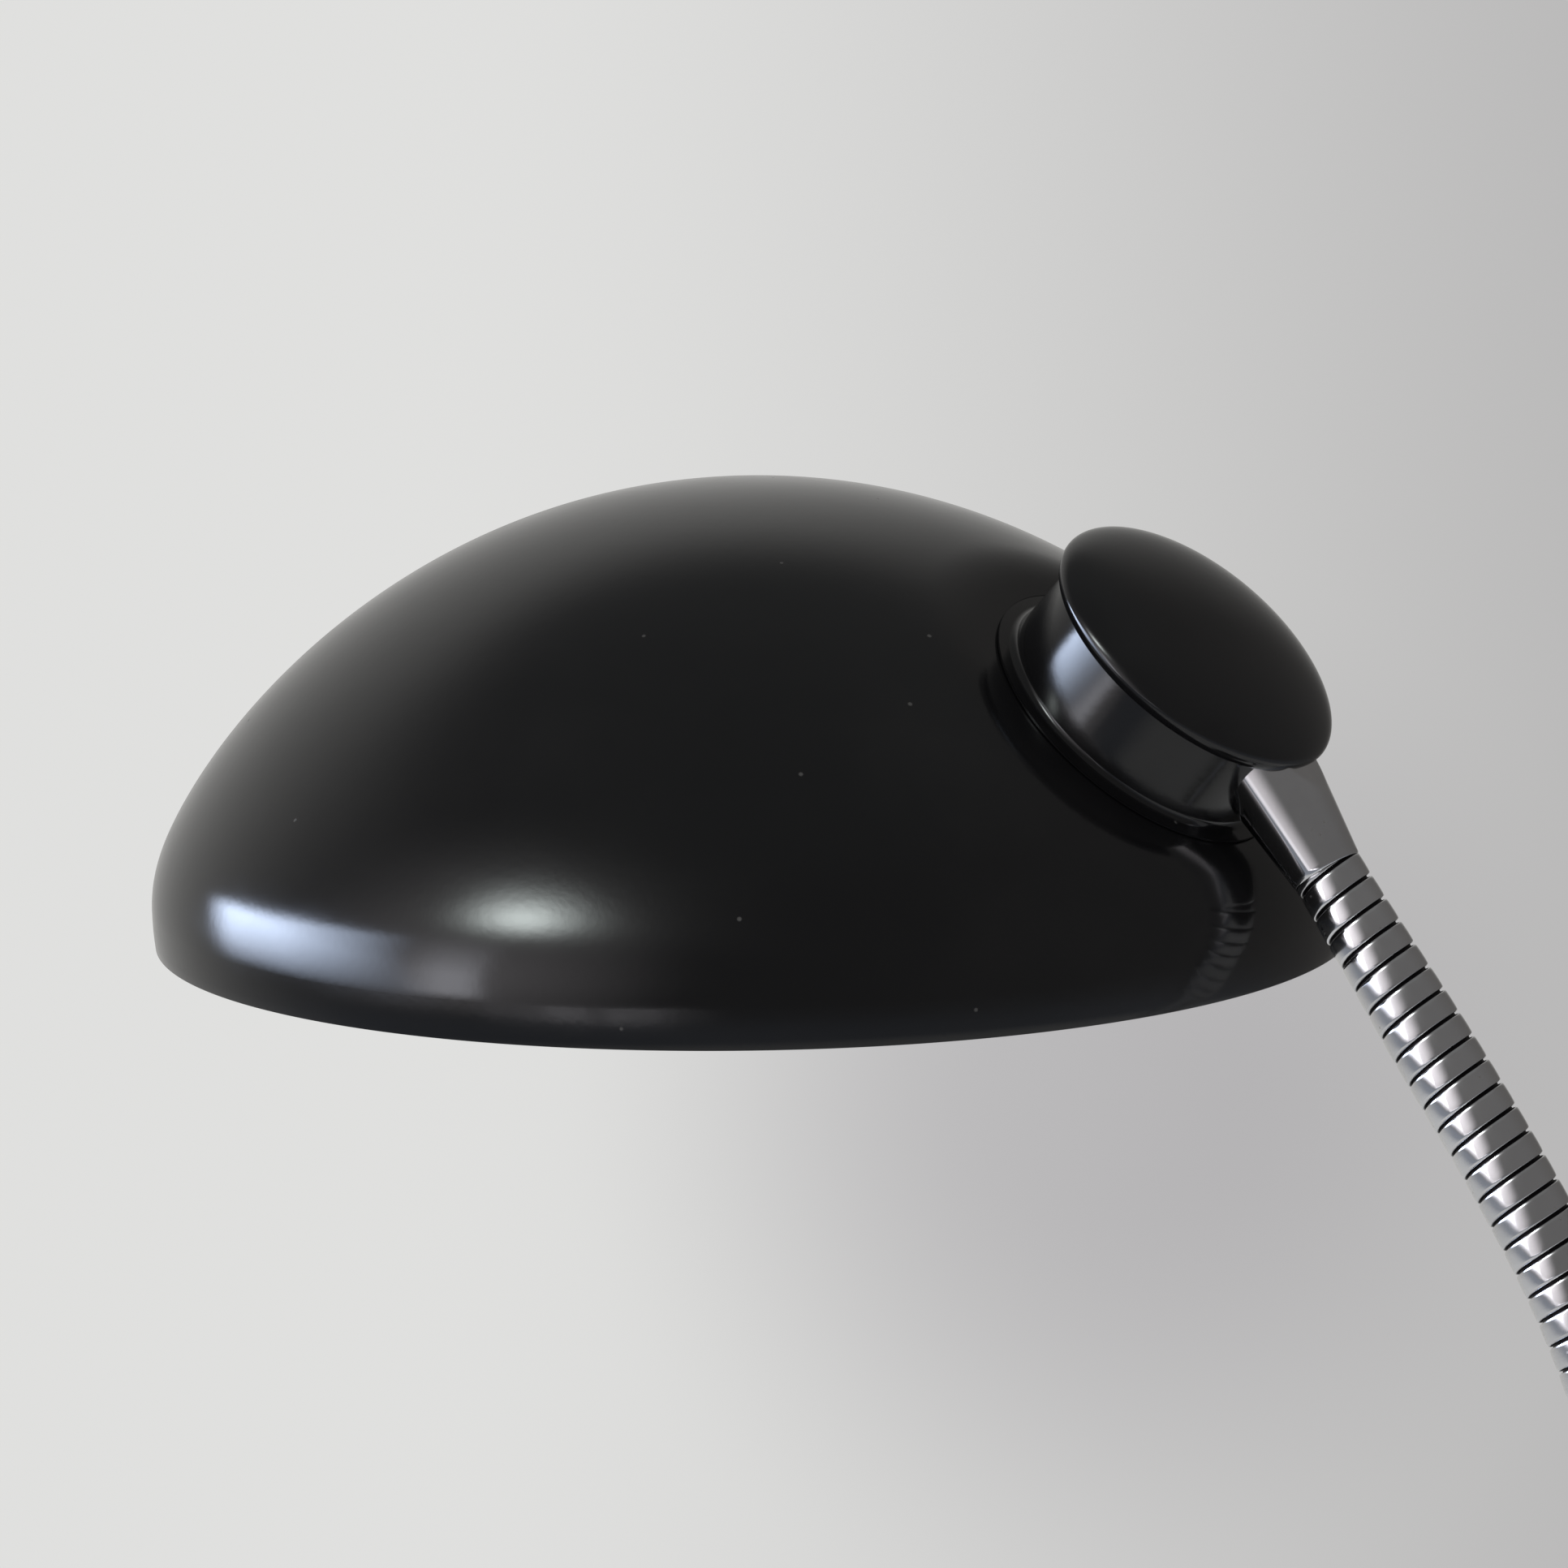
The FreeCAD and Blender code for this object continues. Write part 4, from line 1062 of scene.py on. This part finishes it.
LOOKS = {
    "black_enamel": enamel(),
    "chrome_hose": chrome("chrome_hose_plating", 0.09, 0.18, grooved=True),
    "chrome": chrome("chrome_plating", 0.06, 0.12),
    "cast_iron": solid("cast_iron_raw", (0.05, 0.047, 0.045), (0.085, 0.07, 0.058), 0.5, 0.75, 420, 0.3 * MM),
    "zinc_steel": metal("zinc_plated_steel", (0.52, 0.53, 0.52), 0.28, 0.45, 320, 0.03 * MM,
                        (0.46, 0.45, 0.4)),
    "brass": metal("brass_turned", (0.62, 0.44, 0.17), 0.2, 0.36, 500, 0.02 * MM, (0.42, 0.28, 0.11)),
    "nickel_brass": metal("nickel_plated_brass", (0.62, 0.58, 0.5), 0.14, 0.26, 500, 0.015 * MM,
                          (0.5, 0.47, 0.41)),
    "felt": felt(),
    "porcelain": solid("porcelain_glazed", (0.78, 0.77, 0.72), (0.7, 0.68, 0.62), 0.16, 0.3, 150, 0.03 * MM),
    "rubber": solid("rubber_black", (0.016, 0.016, 0.017), (0.028, 0.027, 0.026), 0.5, 0.68, 700, 0.06 * MM),
    "bakelite": solid("bakelite_black", (0.012, 0.01, 0.01), (0.024, 0.019, 0.017), 0.16, 0.3, 260,
                      0.02 * MM),
    "button_plastic": solid("button_moulded", (0.014, 0.014, 0.015), (0.022, 0.021, 0.021), 0.14, 0.24, 600,
                            0.01 * MM),
    "fibre": solid("vulcanised_fibre", (0.21, 0.05, 0.035), (0.15, 0.034, 0.026), 0.45, 0.62, 350,
                   0.06 * MM),
    "opal_glass": opal(),
}
LINING = inner_white()


def dress(obj, slot):
    """Put a slot's material on every place of an object."""
    if not obj.data.materials:
        obj.data.materials.append(LOOKS[slot])
    for k in range(len(obj.data.materials)):
        obj.data.materials[k] = LOOKS[slot]


# The object

lamp_shade = shade()
base_shell = base_dome()
made = [lamp_shade, base_shell, housing_neck(), housing_cap(), head_ferrule(), base_ferrule(), shade_ring(),
        bulb_globe(), switch_nut(), switch_button()] + gooseneck()
for item in made:
    dress(item, item["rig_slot"])
lamp_shade.data.materials[1] = LINING
replaced = {node for item in made for node in item.get("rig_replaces", [])}
for name, node in frame["nodes"].items():
    if name in replaced:
        continue
    for k, material in enumerate(node.data.materials):
        base_name = material.name.split(".")[0]
        node.data.materials[k] = LOOKS[base_name]


# Light

def towards(azimuth, elevation):
    """Unit vector of a direction given in degrees, azimuth 0 towards -Y."""
    a, e = math.radians(azimuth), math.radians(elevation)
    return Vector((math.sin(a) * math.cos(e), -math.cos(a) * math.cos(e), math.sin(e)))


def aim_axes(aim):
    """Forward, sideways and upward axes of an aim: azimuth, elevation and roll in degrees."""
    azimuth, elevation, roll = aim
    forward = towards(azimuth, elevation)
    level = Vector((0, 0, 1)).cross(forward).normalized()
    upright = forward.cross(level)
    a = math.radians(roll)
    return forward, level * math.cos(a) + upright * math.sin(a), upright * math.cos(a) - level * math.sin(a)


def camera_axes():
    """Backward, right and upward axes of the camera before it is aimed, the last two rolled."""
    back = towards(CAMERA_AZIMUTH, CAMERA_ELEVATION)
    a = math.radians(CAMERA_AZIMUTH)
    right = Vector((math.cos(a), math.sin(a), 0))
    up = back.cross(right)
    rolled = right * math.cos(CAMERA_ROLL) - up * math.sin(CAMERA_ROLL)
    risen = right * math.sin(CAMERA_ROLL) + up * math.cos(CAMERA_ROLL)
    return back, rolled, risen


def camera():
    """Camera at the fitted place, turned so that the shade falls where the photograph has it."""
    back, rolled, risen = camera_axes()
    aside = rolled * (PHOTO_SIDE / 2 - RIM_PIXEL_X) + risen * (RIM_PIXEL_Y - PHOTO_SIDE / 2)
    aim = (aside / FOCAL_PIXELS - back).normalized()
    across = (rolled - aim * rolled.dot(aim)).normalized()
    data = bpy.data.cameras.new("camera")
    data.sensor_width = SENSOR
    data.lens = SENSOR * FOCAL_PIXELS / PHOTO_SIDE
    view = bpy.data.objects.new("camera", data)
    turn = Matrix((across, across.cross(aim), -aim)).transposed().to_4x4()
    view.matrix_world = Matrix.Translation(RIM_CENTRE + back * CAMERA_DISTANCE) @ turn
    bpy.context.scene.collection.objects.link(view)
    bpy.context.scene.camera = view


def along(tree, direction, axis):
    """How far a direction goes along an axis."""
    node = tree.nodes.new("ShaderNodeVectorMath")
    node.operation = "DOT_PRODUCT"
    tree.links.new(direction, node.inputs[0])
    node.inputs[1].default_value = tuple(axis)
    return node.outputs["Value"]


def apart(tree, direction, axis):
    """How far a direction is from an axis."""
    node = tree.nodes.new("ShaderNodeVectorMath")
    node.operation = "DISTANCE"
    tree.links.new(direction, node.inputs[0])
    node.inputs[1].default_value = tuple(axis)
    return node.outputs["Value"]


def patch(tree, direction, aim):
    """How far a direction lies across and above an aim, and whether it is ahead."""
    ahead, sideways, upwards = aim_axes(aim)
    across = along(tree, direction, sideways)
    above = along(tree, direction, upwards)
    return across, above, ramp(tree, along(tree, direction, ahead), *AHEAD_EDGE)


def product(tree, *values):
    total = values[0]
    for value in values[1:]:
        total = maths(tree, "MULTIPLY", total, value)
    return total


def backdrop(tree, direction):
    """Pale wall, darker to the right and low down, with the faint shadow that the hose casts on it."""
    back, rolled, risen = camera_axes()
    dusk = ramp(tree, along(tree, direction, rolled), *DUSK_EDGE)
    plain = mix(tree, dusk, PALE, DUSK)
    low = mix(tree, dusk, LOW_PALE, LOW_DUSK)
    plain = mix(tree, ramp(tree, along(tree, direction, risen), *LOW_EDGE), plain, low)
    middle = (rolled * SHADOW_ACROSS + risen * SHADOW_HEIGHT - back).normalized()
    shadow = ramp(tree, apart(tree, direction, middle), *SHADOW_EDGE, SHADOW_STRENGTH, 0.0)
    return mix(tree, shadow, plain, SHADOW)


def walls(tree, direction):
    """Even light of the room: a dim side in front, a pale wall behind, and the ceiling."""
    rise = along(tree, direction, (0, 0, 1))
    back = mix(tree, ramp(tree, rise, *BACK_TOP_EDGE), BACK_WALL, BACK_TOP)
    back = mix(tree, ramp(tree, along(tree, direction, SIDE_WAY), *SIDE_EDGE), back, SIDE_WALL)
    front = mix(tree, ramp(tree, rise, *FRONT_EDGE), FRONT_FLOOR, FRONT_WALL)
    around = mix(tree, ramp(tree, along(tree, direction, BACK_WAY), *BACK_EDGE), front, back)
    around = mix(tree, ramp(tree, rise, *CEILING_EDGE), around, CEILING)
    lit = ramp(tree, along(tree, direction, towards(*LIT_WALL_AIM)), *LIT_WALL_EDGE, smooth=False)
    lit = product(tree, maths(tree, "POWER", lit, LIT_WALL_FALL), ramp(tree, rise, *LIT_WALL_FOOT))
    return mix(tree, lit, around, LIT_WALL)


def sill(tree, direction, around):
    """Low bright things on a sill."""
    across, above, ahead = patch(tree, direction, SILL_AIM)
    clutter = ramp(tree, noise(tree, 11, 3, direction), *SILL_CLUTTER)
    share = product(tree, ahead, ramp(tree, across, *SILL_LEFT), ramp(tree, across, *SILL_RIGHT),
                    ramp(tree, above, *SILL_FOOT), ramp(tree, above, *SILL_TOP), clutter)
    return mix(tree, share, around, SILL)


def ceiling_lamp(tree, direction, around):
    """Oval lamp with the glow round it."""
    across, above, ahead = patch(tree, direction, LAMP_AIM)
    across = maths(tree, "DIVIDE", across, LAMP_SPREAD[0])
    above = maths(tree, "DIVIDE", above, LAMP_SPREAD[1])
    spread = maths(tree, "ADD", product(tree, across, across), product(tree, above, above))
    glow = product(tree, ahead, maths(tree, "POWER", GLOW_FALL, spread))
    lamp = product(tree, ahead, maths(tree, "POWER", LAMP_FALL, spread))
    return mix(tree, lamp, mix(tree, glow, around, GLOW), LAMP)


def pane(tree, direction, around):
    """Dim pane of glass beside the window."""
    across, above, ahead = patch(tree, direction, PANE_AIM)
    share = product(tree, ahead, ramp(tree, across, *PANE_LEFT), ramp(tree, across, *PANE_RIGHT),
                    ramp(tree, above, *PANE_FOOT), ramp(tree, above, *PANE_TOP, smooth=False))
    return mix(tree, share, around, PANE)


def window(tree, direction, around):
    """Window, brightest at its upper left."""
    across, above, ahead = patch(tree, direction, WINDOW_AIM)
    slant = maths(tree, "ADD", above, maths(tree, "MULTIPLY", across, WINDOW_SLANT))
    share = product(tree, ahead, ramp(tree, across, *WINDOW_LEFT),
                    ramp(tree, across, *WINDOW_RIGHT, smooth=False), ramp(tree, above, *WINDOW_TOP),
                    ramp(tree, slant, *WINDOW_FOOT, smooth=False))
    return mix(tree, share, around, WINDOW)


def world():
    """Backdrop for the camera, a room for the reflections, and evener light that falls on matt surfaces."""
    room = bpy.data.worlds.new("room")
    bpy.context.scene.world = room
    room.use_nodes = True
    tree = room.node_tree
    tree.nodes.clear()
    direction = tree.nodes.new("ShaderNodeTexCoord").outputs["Generated"]
    around = walls(tree, direction)
    for lay in (sill, ceiling_lamp, pane, window):
        around = lay(tree, direction, around)
    path = tree.nodes.new("ShaderNodeLightPath").outputs
    seen = maths(tree, "MAXIMUM", path["Is Camera Ray"], path["Is Glossy Ray"])
    seen = maths(tree, "MAXIMUM", seen, path["Is Transmission Ray"])
    shader = tree.nodes.new("ShaderNodeBackground")
    around = mix(tree, seen, mix(tree, FALLING_SHARE, around, FALLING_LIGHT), around)
    feed(tree, shader.inputs["Color"], mix(tree, path["Is Camera Ray"], around, backdrop(tree, direction)))
    output = tree.nodes.new("ShaderNodeOutputWorld")
    tree.links.new(shader.outputs["Background"], output.inputs["Surface"])


def floor():
    """Pale floor round the base that fades into the backdrop."""
    verts = [(0, 0, 0)]
    for k in range(FLOOR_STEPS):
        a = 2 * math.pi * k / FLOOR_STEPS
        verts.append((FLOOR_RADIUS * math.cos(a), FLOOR_RADIUS * math.sin(a), 0))
    faces = [(0, 1 + k, 1 + (k + 1) % FLOOR_STEPS) for k in range(FLOOR_STEPS)]
    mesh = bpy.data.meshes.new("floor")
    mesh.from_pydata(verts, [], faces)
    ground = bpy.data.objects.new("floor", mesh)
    bpy.context.scene.collection.objects.link(ground)
    material, tree, shader = nodes_of("floor_pale", Roughness=0.6, Specular_IOR_Level=0.2)
    tone = mix(tree, noise(tree, 6, 4), (0.7, 0.7, 0.695), (0.73, 0.73, 0.725))
    feed(tree, shader.inputs["Base Color"], tone)
    reach = apart(tree, place_in(tree), (0, 0, 0))
    feed(tree, shader.inputs["Alpha"], ramp(tree, reach, FLOOR_FADE, FLOOR_RADIUS, 1.0, 0.0))
    mesh.materials.append(material)


bpy.context.scene.view_settings.view_transform = "Standard"
world()
floor()
camera()
